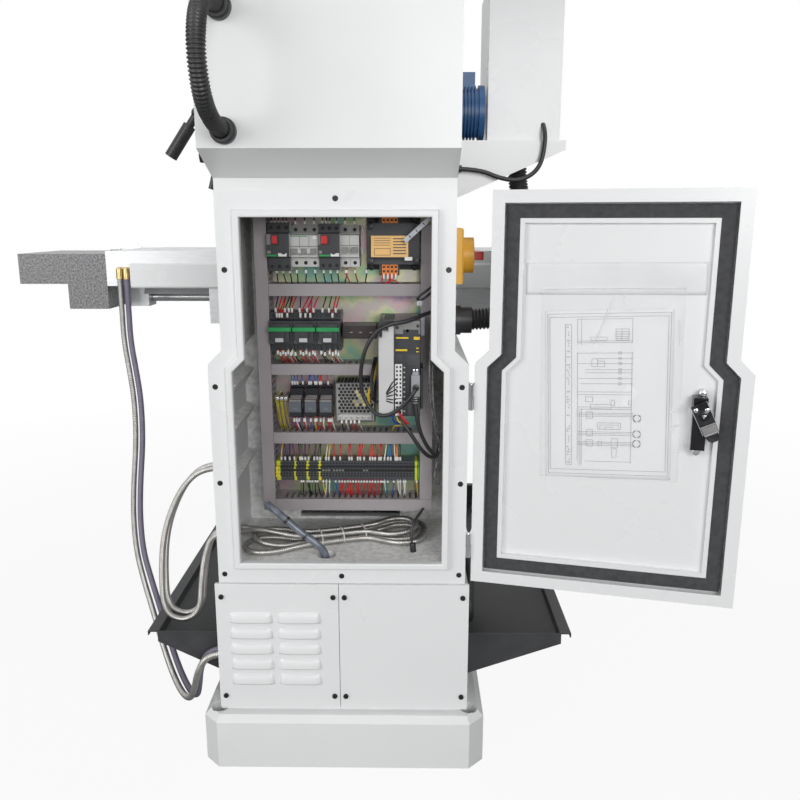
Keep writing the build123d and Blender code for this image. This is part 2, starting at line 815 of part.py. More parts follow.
# Horizontal spindle: shaft in the boss, flanged nose with a taper bore
with BuildPart() as horizontal_spindle:
    rod((0, head_front - nose_length, spindle_z), (0, 1, 0), nose_radius, nose_length - 0.5)
    rod((0, head_front - 1, spindle_z), (0, 1, 0), spindle_shaft, boss_depth + 8)
    with Locations(Plane(origin=(0, head_front - nose_length, spindle_z), z_dir=(0, 1, 0))):
        Cone(
            taper_radius,
            taper_radius - 93 * 7 / 48,
            93,
            align=(Align.CENTER, Align.CENTER, Align.MIN),
            mode=Mode.SUBTRACT,
        )
    for side in (-1, 1):
        block(
            (side * 33.3 - 8, side * 33.3 + 8),
            (head_front - nose_length - 8, head_front - nose_length + 6),
            (spindle_z - 7.9, spindle_z + 7.9),
        )
horizontal_spindle.part.label = "horizontal_spindle"
export_step(horizontal_spindle.part, "parts/horizontal_spindle.step")

# Feed motor on the headstock's -X side: finned drum with a terminal box
motor_y = -50.0
motor_z = 1290.0
motor_radius = 55.0
with BuildPart() as feed_motor:
    rod((-head_half, motor_y, motor_z), (-1, 0, 0), motor_radius - 6, 72)
    rod((-head_half, motor_y, motor_z), (-1, 0, 0), motor_radius, 10)
    for fin in range(6):
        rod((-head_half - 16 - 7 * fin, motor_y, motor_z), (-1, 0, 0), motor_radius, 3)
    rod((-head_half - 60, motor_y, motor_z), (-1, 0, 0), motor_radius, 12)
    block((-head_half - 52, -head_half - 14), (motor_y - 24, motor_y + 24), (motor_z + 40, motor_z + 78))
feed_motor.part.label = "feed_motor"
export_step(feed_motor.part, "parts/feed_motor.step")

# Bracket of the control box: shelf, mounting flange and two gussets with a folded edge
shelf_z = 1231.0
shelf_outer = -452.0
bracket_front = -220.0
with BuildPart() as control_bracket:
    block((shelf_outer, -head_half), (bracket_front, 0), (shelf_z - sheet, shelf_z))
    block((-head_half - sheet, -head_half), (-135, 0), (1112, shelf_z))
    for y in (0, bracket_front + sheet):
        with BuildSketch(at_depth(y)):
            with BuildLine():
                Polyline(
                    (-head_half - 1, shelf_z - 1),
                    (shelf_outer, shelf_z - 1),
                    (shelf_outer, shelf_z - 16),
                    (-head_half - 1, 1112),
                    close=True,
                )
            make_face()
        extrude(amount=sheet)
    with BuildSketch(at_depth(0)):
        with BuildLine():
            Polyline(
                (shelf_outer, shelf_z - 16),
                (shelf_outer, shelf_z - 19),
                (-head_half - 1, 1109),
                (-head_half - 1, 1112),
                close=True,
            )
        make_face()
    extrude(amount=22)
    rod((-367, -120, shelf_z - 4), (0, 0, 1), 16, 6, Mode.SUBTRACT)
control_bracket.part.label = "control_bracket"
export_step(control_bracket.part, "parts/control_bracket.step")

# Control box with its keys and lamps, and a mushroom button that can be pushed
panel_y = -210.0
button_x = -330.0
button_z = 1290.0
button_stem = 8.0
box_x = (-440.0, -290.0)
box_z = (shelf_z, 1540.0)
with BuildPart() as control_box:
    block(box_x, (panel_y, -10), box_z)
    chamfer(control_box.edges().filter_by(Axis.X).group_by(Axis.Z)[-1], 8)
    block((box_x[0] + 3, box_x[1] - 3), (panel_y + 3, -13), (box_z[0] + 3, box_z[1] - 3 - 6), Mode.SUBTRACT)
    for row in range(4):
        for column in range(3):
            rod(
                (box_x[0] + 30 + 45 * column, panel_y + 1, 1350 + 45 * row),
                (0, -1, 0),
                11,
                9,
            )
    rod((button_x, panel_y + 4, button_z), (0, -1, 0), 18, 12)
    rod((button_x, panel_y + 5, button_z), (0, -1, 0), button_stem + fit_gap, 30, Mode.SUBTRACT)
    rod((-405, -14, 1262), (0, 1, 0), 5, 5, Mode.SUBTRACT)
control_box.part.label = "control_box"
export_step(control_box.part, "parts/control_box.step")

with BuildPart() as emergency_button:
    rod((button_x, panel_y + 12, button_z), (0, -1, 0), button_stem, 38)
    rod((button_x, panel_y - 20, button_z), (0, -1, 0), 20, 12)
    fillet(emergency_button.faces().sort_by(Axis.Y)[0].edges(), 5)
emergency_button.part.label = "emergency_button"
export_step(emergency_button.part, "parts/emergency_button.step")

# Clamp lever of the ram: boss with a cap nut and a bent arm
with BuildPart() as clamp_lever:
    rod((head_half + seat_gap, clamp_y, clamp_z), (1, 0, 0), 16, 26)
    with BuildSketch(at_side(head_half + 26)):
        with Locations((clamp_y, clamp_z)):
            RegularPolygon(14, 6)
    extrude(amount=18)
    rod((head_half + 10, clamp_y, clamp_z), (0.28, 0, -1), 6, 62)
    rod((head_half + seat_gap - 1, clamp_y, clamp_z), (1, 0, 0), 8 + fit_gap, 34 + 1, Mode.SUBTRACT)
clamp_lever.part.label = "clamp_lever"
export_step(clamp_lever.part, "parts/clamp_lever.step")

# Ram hand lever on the +X side: shaft, hub, cranked arm and black grip
lever_y = -100.0
lever_z = 1380.0
lever_knee = (head_half + 122, lever_y, lever_z - 82)
with BuildPart() as ram_lever:
    rod((head_half - 18, lever_y, lever_z), (1, 0, 0), 14, 30)
    rod((head_half + seat_gap, lever_y, lever_z), (1, 0, 0), 24, 36)
    rod((head_half + 26, lever_y, lever_z), (96, 0, -82), 9, 126)
    with Locations(lever_knee):
        Sphere(13)
    rod(lever_knee, (46, 0, -66), 9, 40)
    rod((lever_knee[0] + 18, lever_y, lever_knee[2] - 26), (46, 0, -66), 14, 80)
ram_lever.part.label = "ram_lever"
export_step(ram_lever.part, "parts/ram_lever.step")


def dovetail_groove(half, flare, height):
    """Half width, flare and depth of the groove that runs on a dovetail way."""
    return half + 1.5 * slide_gap, flare * (height + slide_gap) / height, height + slide_gap


# Ram: box casting that slides along Y on the headstock's way, with the head's swivel flange
groove_half, groove_flare, groove_height = dovetail_groove(ram_way_half, ram_way_flare, ram_way_height)
ram_low = head_top + slide_gap
with BuildPart() as ram:
    block((-ram_half, ram_half), (ram_front, ram_rear), (ram_low, ram_top))
    chamfer(ram.edges().filter_by(Axis.Y).group_by(Axis.Z)[-1], 18)
    block((-75, 75), (ram_front + 60, ram_rear + 1), (1480, ram_top - 25), Mode.SUBTRACT)
    with BuildSketch(at_depth(ram_rear)):
        with BuildLine():
            Polyline(*dovetail(groove_half, groove_flare, head_top, groove_height), close=True)
        make_face()
    extrude(amount=ram_rear - ram_front, mode=Mode.SUBTRACT)
    rod((0, ram_front + 1, swivel_z), (0, -1, 0), swivel_radius, flange_thickness + 1)
    block((-80, 80), (ram_rear - 12, ram_rear), (1500, 1585), Mode.SUBTRACT)
ram.part.label = "ram"
export_step(ram.part, "parts/ram.step")

# Vertical head: swivel flange, body with the quill's bore, lower quill housing
head_back = ram_front - flange_thickness - slide_gap
head_top_z = 1640.0
head_low_z = 1330.0
lever_hub_z = 1420.0
hub_reach = 20.0
with BuildPart() as vertical_head:
    rod((0, head_back, swivel_z), (0, -1, 0), swivel_radius, flange_thickness)
    block((-100, 100), (-615, head_back - 15), (head_low_z, head_top_z))
    chamfer(vertical_head.edges().filter_by(Axis.Z).group_by(Axis.Y)[0], 25)
    rod((0, vertical_y, head_low_z + 1), (0, 0, -1), 65, 31)
    rod((0, vertical_y, quill_low), (0, 0, 1), quill_radius + fit_gap, 310, Mode.SUBTRACT)
    rod((0, vertical_y, 1590), (0, 0, 1), 36, 60, Mode.SUBTRACT)
    rod((99, vertical_y, lever_hub_z), (1, 0, 0), 26, 1 + hub_reach - 8)
    rod((70, vertical_y, lever_hub_z), (1, 0, 0), 10 + fit_gap, 60, Mode.SUBTRACT)
vertical_head.part.label = "vertical_head"
export_step(vertical_head.part, "parts/vertical_head.step")

with BuildPart() as head_motor:
    rod((0, vertical_y, head_top_z), (0, 0, 1), 85, 18)
    rod((0, vertical_y, head_top_z + 17), (0, 0, 1), 70, 175)
    for number in range(9):
        rod((0, vertical_y, head_top_z + 34 + 15 * number), (0, 0, 1), 78, 6)
    rod((0, vertical_y, head_top_z + 185), (0, 0, 1), 80, 25)
    block((-40, 40), (vertical_y - 100, vertical_y - 60), (head_top_z + 60, head_top_z + 140))
head_motor.part.label = "head_motor"
export_step(head_motor.part, "parts/head_motor.step")

with BuildPart() as quill:
    rod((0, vertical_y, quill_low), (0, 0, 1), quill_radius, quill_high - quill_low)
    rod((0, vertical_y, quill_low - 1), (0, 0, 1), 25 + fit_gap, quill_high - quill_low + 2, Mode.SUBTRACT)
quill.part.label = "quill"
export_step(quill.part, "parts/quill.step")

with BuildPart() as vertical_spindle:
    rod((0, vertical_y, nose_low), (0, 0, 1), nose_radius, quill_low - seat_gap - nose_low)
    rod((0, vertical_y, nose_low + 5), (0, 0, 1), 25, 1520 - nose_low - 5)
    rod((0, vertical_y, 1519), (0, 0, 1), 16, 100)
    with Locations(Plane(origin=(0, vertical_y, nose_low), z_dir=(0, 0, 1))):
        Cone(
            taper_radius,
            taper_radius - 93 * 7 / 48,
            93,
            align=(Align.CENTER, Align.CENTER, Align.MIN),
            mode=Mode.SUBTRACT,
        )
    for side in (-1, 1):
        block(
            (side * 33.3 - 8, side * 33.3 + 8),
            (vertical_y - 7.9, vertical_y + 7.9),
            (nose_low - 8, nose_low + 6),
        )
vertical_spindle.part.label = "vertical_spindle"
export_step(vertical_spindle.part, "parts/vertical_spindle.step")

spoke_reach = 100.0
hub_x = 100 + hub_reach
with BuildPart() as quill_lever:
    rod((72, vertical_y, lever_hub_z), (1, 0, 0), 10, hub_x - 70)
    rod((hub_x - 8 + seat_gap, vertical_y, lever_hub_z), (1, 0, 0), 22, 22)
    for turn in (90, 210, 330):
        way = (0, cos(radians(turn)), sin(radians(turn)))
        rod((hub_x + 3, vertical_y, lever_hub_z), way, 5, spoke_reach)
        tip = (hub_x + 3, vertical_y + spoke_reach * way[1], lever_hub_z + spoke_reach * way[2])
        with Locations(tip):
            Sphere(10)
quill_lever.part.label = "quill_lever"
export_step(quill_lever.part, "parts/quill_lever.step")

# Knee: rides on the column's way, carries the saddle's way on its top
groove_half, groove_flare, groove_height = dovetail_groove(way_half, way_flare, way_depth)
knee_back = column_front - slide_gap
crank_x = 60.0
crank_z = 640.0
wheel_x = -80.0
wheel_z = 725.0
with BuildPart() as knee:
    with BuildSketch(at_side(-knee_half)):
        with BuildLine():
            Polyline(
                (knee_back, knee_bottom),
                (knee_back, knee_top),
                (knee_front, knee_top),
                (knee_front, 700),
                (-560, 560),
                (-300, knee_bottom),
                close=True,
            )
        make_face()
    extrude(amount=2 * knee_half)
    with BuildSketch(at_depth(-240)):
        with BuildLine():
            Polyline(*dovetail(saddle_way_half, saddle_way_flare, knee_top, saddle_way_height), close=True)
        make_face()
    extrude(amount=-240 - knee_front)
    with BuildSketch(Plane.XY.offset(knee_bottom - 1)):
        with BuildLine():
            Polyline(*[(x, -y) for x, y in dovetail(groove_half, groove_flare, -column_front, groove_height)], close=True)
        make_face()
    extrude(amount=knee_top - knee_bottom + 60, mode=Mode.SUBTRACT)
    block((-75, 75), (screw_y - 75, screw_y + 75), (knee_bottom - 20, 740), Mode.SUBTRACT)
    rod((0, screw_y, 700), (0, 0, 1), lift_radius + fit_gap, 92, Mode.SUBTRACT)
    rod((crank_x, -620, crank_z), (0, -1, 0), 30, 46)
    rod((wheel_x, knee_front + 5, wheel_z), (0, -1, 0), 26, 17)
    rod((crank_x, -596, crank_z), (0, -1, 0), 14 + fit_gap, 90, Mode.SUBTRACT)
    rod((wheel_x, -650, wheel_z), (0, -1, 0), 12 + fit_gap, 90, Mode.SUBTRACT)
knee.part.label = "knee"
export_step(knee.part, "parts/knee.step")

with BuildPart() as lift_screw:
    rod((0, screw_y, 320), (0, 0, 1), lift_radius, 470)
    rod((0, screw_y, 700), (0, 0, 1), 46, 38)
lift_screw.part.label = "lift_screw"
export_step(lift_screw.part, "parts/lift_screw.step")

with BuildPart() as z_crank:
    rod((crank_x, -600, crank_z), (0, -1, 0), 14, 190)
    rod((crank_x, -770, crank_z), (0, -1, 0), 24, 34)
    block((crank_x - 12, crank_x + 12), (-804, -792), (crank_z - 130, crank_z))
    rod((crank_x, -792, crank_z - 120), (0, -1, 0), 13, 110)
z_crank.part.label = "z_crank"
export_step(z_crank.part, "parts/z_crank.step")


def wheel_rim(centre, spokes, rim, tube):
    """Rim, spokes and grip of a handwheel that turns about Y; the hub is added after it."""
    with Locations(Plane(origin=(centre[0], centre[1] + tube, centre[2]), z_dir=(0, -1, 0))):
        Cylinder(rim + tube, 2 * tube, align=(Align.CENTER, Align.CENTER, Align.MIN))
        Cylinder(rim - tube, 2 * tube, align=(Align.CENTER, Align.CENTER, Align.MIN), mode=Mode.SUBTRACT)
    for number in range(spokes):
        way = radians(360 / spokes * number + 30)
        with Locations(Plane(origin=centre, x_dir=(cos(way), 0, sin(way)), z_dir=(0, -1, 0))):
            Box(rim, 12, 9, align=(Align.MIN, Align.CENTER, Align.CENTER))
    grip = (centre[0] + rim * cos(radians(80)), centre[1], centre[2] + rim * sin(radians(80)))
    rod(grip, (0, -1, 0), 8, 62)


with BuildPart() as y_handwheel:
    wheel_rim((wheel_x, -742, wheel_z), 3, 60, 8)
    rod((wheel_x, -652, wheel_z), (0, -1, 0), 12, 95)
    rod((wheel_x, -724, wheel_z), (0, -1, 0), 22, 36)
y_handwheel.part.label = "y_handwheel"
export_step(y_handwheel.part, "parts/y_handwheel.step")

# Saddle: crosses from the knee's way to the table's way, with the table screw's nut at its +X end
saddle_low = knee_top + slide_gap
saddle_high = table_under - slide_gap
with BuildPart() as saddle:
    block((saddle_low_x, saddle_high_x), (saddle_front, saddle_back), (saddle_low, saddle_high))
    block((saddle_low_x - 170, saddle_low_x + 2), (saddle_back - 25, saddle_back), (846, 903))
    block((saddle_high_x - 1, saddle_high_x + 1), (-480, -420), (840, 872), Mode.SUBTRACT)
    with BuildSketch(at_depth(saddle_back + 1)):
        groove_half, groove_flare, groove_height = dovetail_groove(
            saddle_way_half, saddle_way_flare, saddle_way_height
        )
        with BuildLine():
            Polyline(*dovetail(groove_half, groove_flare, knee_top, groove_height), close=True)
        make_face()
    extrude(amount=saddle_back - saddle_front + 2, mode=Mode.SUBTRACT)
    table_groove = dovetail_groove(table_way_half, table_way_flare, table_under - table_way_low)
    with BuildSketch(at_side(saddle_low_x - 1)):
        with BuildLine():
            Polyline(
                (table_mid - table_groove[0], table_under),
                (table_mid + table_groove[0], table_under),
                (table_mid + table_groove[0] + table_groove[1], table_under - table_groove[2]),
                (table_mid - table_groove[0] - table_groove[1], table_under - table_groove[2]),
                close=True,
            )
        make_face()
    extrude(amount=saddle_high_x - saddle_low_x + 2, mode=Mode.SUBTRACT)
    rod((saddle_low_x - 1, table_mid, lead_z), (1, 0, 0), lead_radius + 0.6, 551, Mode.SUBTRACT)
    block(
        (saddle_low_x - 1, saddle_low_x + 550),
        (table_mid - lead_radius - 0.6, table_mid + lead_radius + 0.6),
        (lead_z, table_way_low),
        Mode.SUBTRACT,
    )
    rod((saddle_high_x - 90, table_mid, lead_z), (1, 0, 0), lead_radius + fit_gap, 92, Mode.SUBTRACT)
saddle.part.label = "saddle"
export_step(saddle.part, "parts/saddle.step")

# Table: slotted slab with its male dovetail and an end bracket at each end
with BuildPart() as table:
    block((-table_half, table_half), (table_front, table_back), (table_under, table_top))
    with BuildSketch(at_side(-table_half + 12)):
        with BuildLine():
            Polyline(
                (table_mid - table_way_half, table_under),
                (table_mid + table_way_half, table_under),
                (table_mid + table_way_half + table_way_flare, table_way_low),
                (table_mid - table_way_half - table_way_flare, table_way_low),
                close=True,
            )
        make_face()
    extrude(amount=2 * table_half - 24)
    for side in (-1, 1):
        ends = sorted((side * table_half, side * (table_half + bracket_length)))
        block(ends, (table_front, table_back), (908, table_top - 1))
        block(ends, (table_mid - 30, table_mid + 30), (lead_z - 23, 910))
        rod((side * (table_half - 1), table_mid, lead_z), (side, 0, 0), lead_radius + fit_gap, 80, Mode.SUBTRACT)
    for slot in (-1, 0, 1):
        slot_y = table_mid + slot * slot_pitch
        block((-700, 700), (slot_y - slot_width / 2, slot_y + slot_width / 2), (table_top - 16, table_top + 1), Mode.SUBTRACT)
        block((-700, 700), (slot_y - 12.5, slot_y + 12.5), (table_top - 26, table_top - 15), Mode.SUBTRACT)
table.part.label = "table"
export_step(table.part, "parts/table.step")

with BuildPart() as scale_cover:
    block((-560, table_half), (table_back, table_back + 14), (903.5, 965))
    chamfer(scale_cover.edges().filter_by(Axis.X).group_by(Axis.Y)[-1], 4)
scale_cover.part.label = "scale_cover"
export_step(scale_cover.part, "parts/scale_cover.step")

lead_end = table_half + bracket_length + 4
with BuildPart() as x_lead_screw:
    rod((-lead_end, table_mid, lead_z), (1, 0, 0), lead_radius, 2 * lead_end)
x_lead_screw.part.label = "x_lead_screw"
export_step(x_lead_screw.part, "parts/x_lead_screw.step")

# End box of the table feed: two folded covers with a bearing boss for the handwheel
end_x = table_half + bracket_length
end_wheel_x = 700.0
end_wheel_z = 941.0
with BuildPart() as end_box:
    block((end_x, 858), (-560, table_back), (913, 988))
    block((end_x, 737), (-520, table_back), (850, 914))
    block((end_x + 2, 856), (-558, table_back - 2), (915, 986), Mode.SUBTRACT)
    block((end_x + 2, 735), (-518, table_back - 2), (852, 916), Mode.SUBTRACT)
    rod((end_x - 1, table_mid, lead_z), (1, 0, 0), 20, 6, Mode.SUBTRACT)
    rod((end_wheel_x, -545, end_wheel_z), (0, -1, 0), 26, 50)
    rod((end_wheel_x, -540, end_wheel_z), (0, -1, 0), 12 + fit_gap, 60, Mode.SUBTRACT)
end_box.part.label = "end_box"
export_step(end_box.part, "parts/end_box.step")

with BuildPart() as x_handwheel:
    wheel_rim((end_wheel_x, -650, end_wheel_z), 3, 60, 8)
    rod((end_wheel_x, -548, end_wheel_z), (0, -1, 0), 12, 125)
    rod((end_wheel_x, -630, end_wheel_z), (0, -1, 0), 22, 40)
x_handwheel.part.label = "x_handwheel"
export_step(x_handwheel.part, "parts/x_handwheel.step")

# Brass elbows at the table's +X bracket: the two table cords hang from them
elbow_x = (583.0, 600.0)
elbow_y = -290.0
elbow_z = 948.0
table_cord = 14.0
with BuildPart() as table_elbows:
    for x in elbow_x:
        rod((x, table_back, elbow_z), (0, 1, 0), 8, 10)
        with Locations((x, elbow_y, elbow_z)):
            Sphere(8)
        rod((x, elbow_y, elbow_z), (0, 0, -1), 8, 22)
        rod((x, elbow_y, elbow_z - 8), (0, 0, -1), table_cord / 2 + fit_gap, 15, Mode.SUBTRACT)
table_elbows.part.label = "table_elbows"
export_step(table_elbows.part, "parts/table_elbows.step")

# Cabinet door: folded pan with a return lip, a sealing channel and an inner rim. It is drawn in
# its own frame (x from the hinge axis towards the free edge, y outwards when shut) and stands open
turn = radians(door_angle)
door_frame = Plane(
    origin=(hinge_x, hinge_y, 0), x_dir=(cos(turn), sin(turn), 0), z_dir=(0, 0, 1)
)
door_out = (-sin(turn), cos(turn), 0)


def at_door(depth):
    """The door's plane at a depth from the hinge axis: x along the door, y up, normal outwards."""
    origin = (hinge_x + depth * door_out[0], hinge_y + depth * door_out[1], 0)
    return Plane(origin=origin, x_dir=(cos(turn), sin(turn), 0), z_dir=(-door_out[0], -door_out[1], 0))


def door_outline(inset):
    """Corners of the door, set in from its edge."""
    shape = flared_outline(
        half_top + 1 - inset,
        half_low - inset,
        door_top - inset,
        flare_high - inset / 4,
        flare_low - inset / 4,
        door_bottom + inset,
    )
    return [(x - hinge_x, z) for x, z in shape]


def door_x(x):
    """A closed door's X in the door's own frame."""
    return x - hinge_x


lip_plane = back_y + door_gap - hinge_y
skin_out = lip_plane + door_depth
skin_in = skin_out - door_sheet
latch_x = 158.0
latch_z = 745.0
with BuildPart(door_frame) as cabinet_door:
    with BuildSketch(at_door(skin_out)):
        with BuildLine():
            Polyline(*door_outline(0), close=True)
        make_face()
    extrude(amount=door_depth)
    with BuildSketch(at_door(skin_in)):
        with BuildLine():
            Polyline(*door_outline(door_sheet), close=True)
        make_face()
    extrude(amount=door_depth - 2 * door_sheet, mode=Mode.SUBTRACT)
    with BuildSketch(at_door(lip_plane + door_sheet)):
        with BuildLine():
            Polyline(*door_outline(door_lip), close=True)
        make_face()
    extrude(amount=door_sheet, mode=Mode.SUBTRACT)
    with BuildSketch(at_door(skin_in)):
        with BuildLine():
            Polyline(*door_outline(door_lip + 2 + gasket_width), close=True)
        make_face()
        with BuildLine():
            Polyline(*door_outline(door_lip + 2 + gasket_width + rim_width), close=True)
        make_face(mode=Mode.SUBTRACT)
    extrude(amount=rim_height)
    with BuildSketch(at_door(skin_out)):
        with Locations((door_x(latch_x), latch_z)):
            Circle(9.2)
    extrude(amount=door_sheet, mode=Mode.SUBTRACT)
cabinet_door.part.label = "cabinet_door"
export_step(cabinet_door.part, "parts/cabinet_door.step")

with BuildPart() as door_gasket:
    with BuildSketch(at_door(skin_in)):
        with BuildLine():
            Polyline(*door_outline(door_lip + 2.3), close=True)
        make_face()
        with BuildLine():
            Polyline(*door_outline(door_lip + 1.7 + gasket_width), close=True)
        make_face(mode=Mode.SUBTRACT)
    extrude(amount=gasket_depth)
door_gasket.part.label = "door_gasket"
export_step(door_gasket.part, "parts/door_gasket.step")

# Clear pocket with its papers, hung by a taped strip on the door's inner face
with BuildPart() as document_pocket:
    with BuildSketch(at_door(skin_in)):
        with Locations((door_x(0), 784.5)):
            Rectangle(246, 347)
    extrude(amount=2.5)
    with BuildSketch(at_door(skin_in)):
        with Locations((door_x(0), 970.5)):
            Rectangle(306, 55)
    extrude(amount=1.2)
document_pocket.part.label = "document_pocket"
export_step(document_pocket.part, "parts/document_pocket.step")

# Hinge halves on the door: leaf and bored upper knuckle
with BuildPart(door_frame) as door_hinges:
    for z in hinge_heights:
        block((2, 5), (5.5, skin_out), (z - knuckle, z + knuckle))
        block((2, 5), (0, 7), (z + 0.3, z + knuckle))
        rod((0, 0, z + 0.3), (0, 0, 1), hinge_barrel, knuckle - 0.3)
        rod((0, 0, z + 0.2), (0, 0, 1), 2 + fit_gap, knuckle + 1, Mode.SUBTRACT)
        for step in (-14, 14):
            rod((2.5, 20, z + step), (-1, 0, 0), 4, 2.5)
door_hinges.part.label = "door_hinges"
export_step(door_hinges.part, "parts/door_hinges.step")

# Latch: housing on the inner face with a keyed boss outside, and its turning cam
latch_depth = 30.0
cam_radius = 6.0
latch_face = skin_in - latch_depth
with BuildPart(door_frame) as latch_housing:
    block(
        (door_x(latch_x) - 19, door_x(latch_x) + 19),
        (latch_face, skin_in),
        (latch_z - 45, latch_z + 30),
    )
    rod((door_x(latch_x), skin_in - 1, latch_z), (0, 1, 0), 9, door_sheet + 2)
    rod((door_x(latch_x), skin_out, latch_z), (0, 1, 0), 13, 4)
    block(
        (door_x(latch_x) - 1.2, door_x(latch_x) + 1.2),
        (skin_out + 1, skin_out + 5),
        (latch_z - 6, latch_z + 6),
        Mode.SUBTRACT,
    )
    rod((door_x(latch_x), latch_face - 1, latch_z), (0, 1, 0), cam_radius + fit_gap, 13, Mode.SUBTRACT)
latch_housing.part.label = "latch_housing"
export_step(latch_housing.part, "parts/latch_housing.step")

cam_rest = radians(-72)
cam_length = 55.0
with BuildPart(door_frame) as latch_cam:
    rod((door_x(latch_x), latch_face - 5.3, latch_z), (0, 1, 0), cam_radius, 16)
    rod((door_x(latch_x), latch_face - 5.3, latch_z), (0, 1, 0), 11, 5)
    with BuildSketch(at_door(latch_face - 0.3)):
        with Locations(
            Location(
                (
                    door_x(latch_x) + cam_length / 2 * cos(cam_rest),
                    latch_z + cam_length / 2 * sin(cam_rest),
                ),
                degrees(cam_rest),
            )
        ):
            RectangleRounded(cam_length, 16, 5)
    extrude(amount=5)
latch_cam.part.label = "latch_cam"
export_step(latch_cam.part, "parts/latch_cam.step")


# Cords: straight runs joined by tangent arcs


def bend_radii(points):
    """The largest even radius at each turn: what its shorter run leaves for the arc."""
    corners = [Vector(*point) for point in points]
    radii = []
    for number in range(1, len(corners) - 1):
        before = corners[number] - corners[number - 1]
        after = corners[number + 1] - corners[number]
        half_turn = radians(before.get_angle(after)) / 2
        share_before = 0.6 if number == 1 else 0.47
        share_after = 0.6 if number == len(corners) - 2 else 0.47
        reach = min(before.length * share_before, after.length * share_after)
        radii.append(reach / tan(half_turn))
    return radii


def cord_tube(points, diameter, label):
    """A closed round tube along the points."""
    radii = bend_radii(points)
    with BuildPart() as tube:
        with BuildLine() as path:
            FilletPolyline(*points, radius=radii)
        run = path.wires()[0]
        with BuildSketch(Plane(origin=run @ 0, z_dir=run % 0)):
            Circle(diameter / 2)
        sweep(path=run)
    expected = pi * diameter**2 / 4 * run.length
    print(
        label,
        "least radius",
        round(min(radii), 1),
        "diameters",
        round(min(radii) / diameter, 1),
        "volume share",
        round(tube.part.volume / expected, 4),
    )
    tube.part.label = label
    return tube


def spread(points, offsets):
    """The points moved by one (x, y, z) offset each."""
    return [tuple(value + shift for value, shift in zip(point, move)) for point, move in zip(points, offsets)]


# Two table cords: down from the elbows, past the tray, a loop over the floor, up to the column
table_route = [
    (591.5, elbow_y, elbow_z - 13),
    (591.5, elbow_y, 850),
    (589, -280, 771),
    (575, -265, 697),
    (562, -248, 622),
    (557, -225, 522),
    (562, -200, 423),
    (561, -175, 338),
    (547, -140, 259),
    (520, -105, 196),
    (487, -60, 140),
    (450, 0, 90),
    (410, 65, 52),
    (368, 135, 42),
    (333, 195, 66),
    (312, 238, 118),
    (297, 262, 180),
    (270, 272, 222),
    (half_foot - 16, 272, 222),
]
spread_one = [(-8.5, 0, 0)] * 9 + [(-8, -4, 0)] * 5 + [(-6, -6, 0), (-3, -6, 0), (0, -8, 0), (0, -10, 0), (0, -10, 0)]
spread_two = [(8.5, 0, 0)] * 9 + [(8, 4, 0)] * 5 + [(6, 6, 0), (3, 8, 0), (0, 10, 0), (0, 10, 0), (0, 10, 0)]
table_hose = cord_tube(spread(table_route, spread_one), table_cord, "table_hose")
export_step(table_hose.part, "parts/table_hose.step")
table_conduit = cord_tube(spread(table_route, spread_two), table_cord, "table_conduit")
export_step(table_conduit.part, "parts/table_conduit.step")

# Two conduits that loop from the column's +X side into the tray and back into the cabinet
side_cord = 12.0
side_route = [
    (half_low, 168, 584),
    (284, 168, 584),
    (326, 168, 548),
    (356, 168, 492),
    (376, 168, 429),
    (384, 168, 350),
    (384, 168, 268),
    (346, 168, 246),
    (308, 168, 268),
    (302, 168, 335),
    (292, 168, 395),
    (272, 168, 446),
    (cavity_low_half + 2, 168, 446),
]
side_conduit_1 = cord_tube(side_route, side_cord, "side_conduit_1")
export_step(side_conduit_1.part, "parts/side_conduit_1.step")
side_conduit_2 = cord_tube([(x, 196, z) for x, y, z in side_route], side_cord, "side_conduit_2")
export_step(side_conduit_2.part, "parts/side_conduit_2.step")

# Thick hose from the column's -X side up to the control box's shelf
control_cord = 42.0
control_route = [
    (-half_top, 150, 877),
    (-330, 150, 877),
    (-402, 105, 925),
    (-420, 20, 990),
    (-400, -60, 1055),
    (-367, -120, 1130),
    (-367, -120, shelf_z - sheet),
]
control_hose = cord_tube(control_route, control_cord, "control_hose")
export_step(control_hose.part, "parts/control_hose.step")

# Low hose that lies against the column's -X foot between two elbows
low_cord = 20.0
low_route = [
    (-259, 20, 347),
    (-259, 139, 347),
    (-259, 179, 279),
    (-259, 139, 211),
    (-259, 20, 211),
]
side_hose = cord_tube(low_route, low_cord, "side_hose")
export_step(side_hose.part, "parts/side_hose.step")

# Conduit loop on the headstock's rear face
rear_cord = 28.0
rear_route = [
    (166, head_rear, 1207),
    (166, 510, 1207),
    (166, 563, 1298),
    (166, 510, 1390),
    (166, head_rear, 1390),
]
rear_conduit = cord_tube(rear_route, rear_cord, "rear_conduit")
export_step(rear_conduit.part, "parts/rear_conduit.step")

# Thin cable from the headstock's -X side to the control box
panel_cord = 9.0
panel_route = [
    (-half_top, 20, 1173),
    (-270, 20, 1173),
    (-318, 19, 1153),
    (-360, 18, 1149),
    (-396, 17, 1172),
    (-406, 16, 1215),
    (-406, 14, 1250),
    (-405, -10, 1262),
]
panel_cable = cord_tube(panel_route, panel_cord, "panel_cable")
export_step(panel_cable.part, "parts/panel_cable.step")

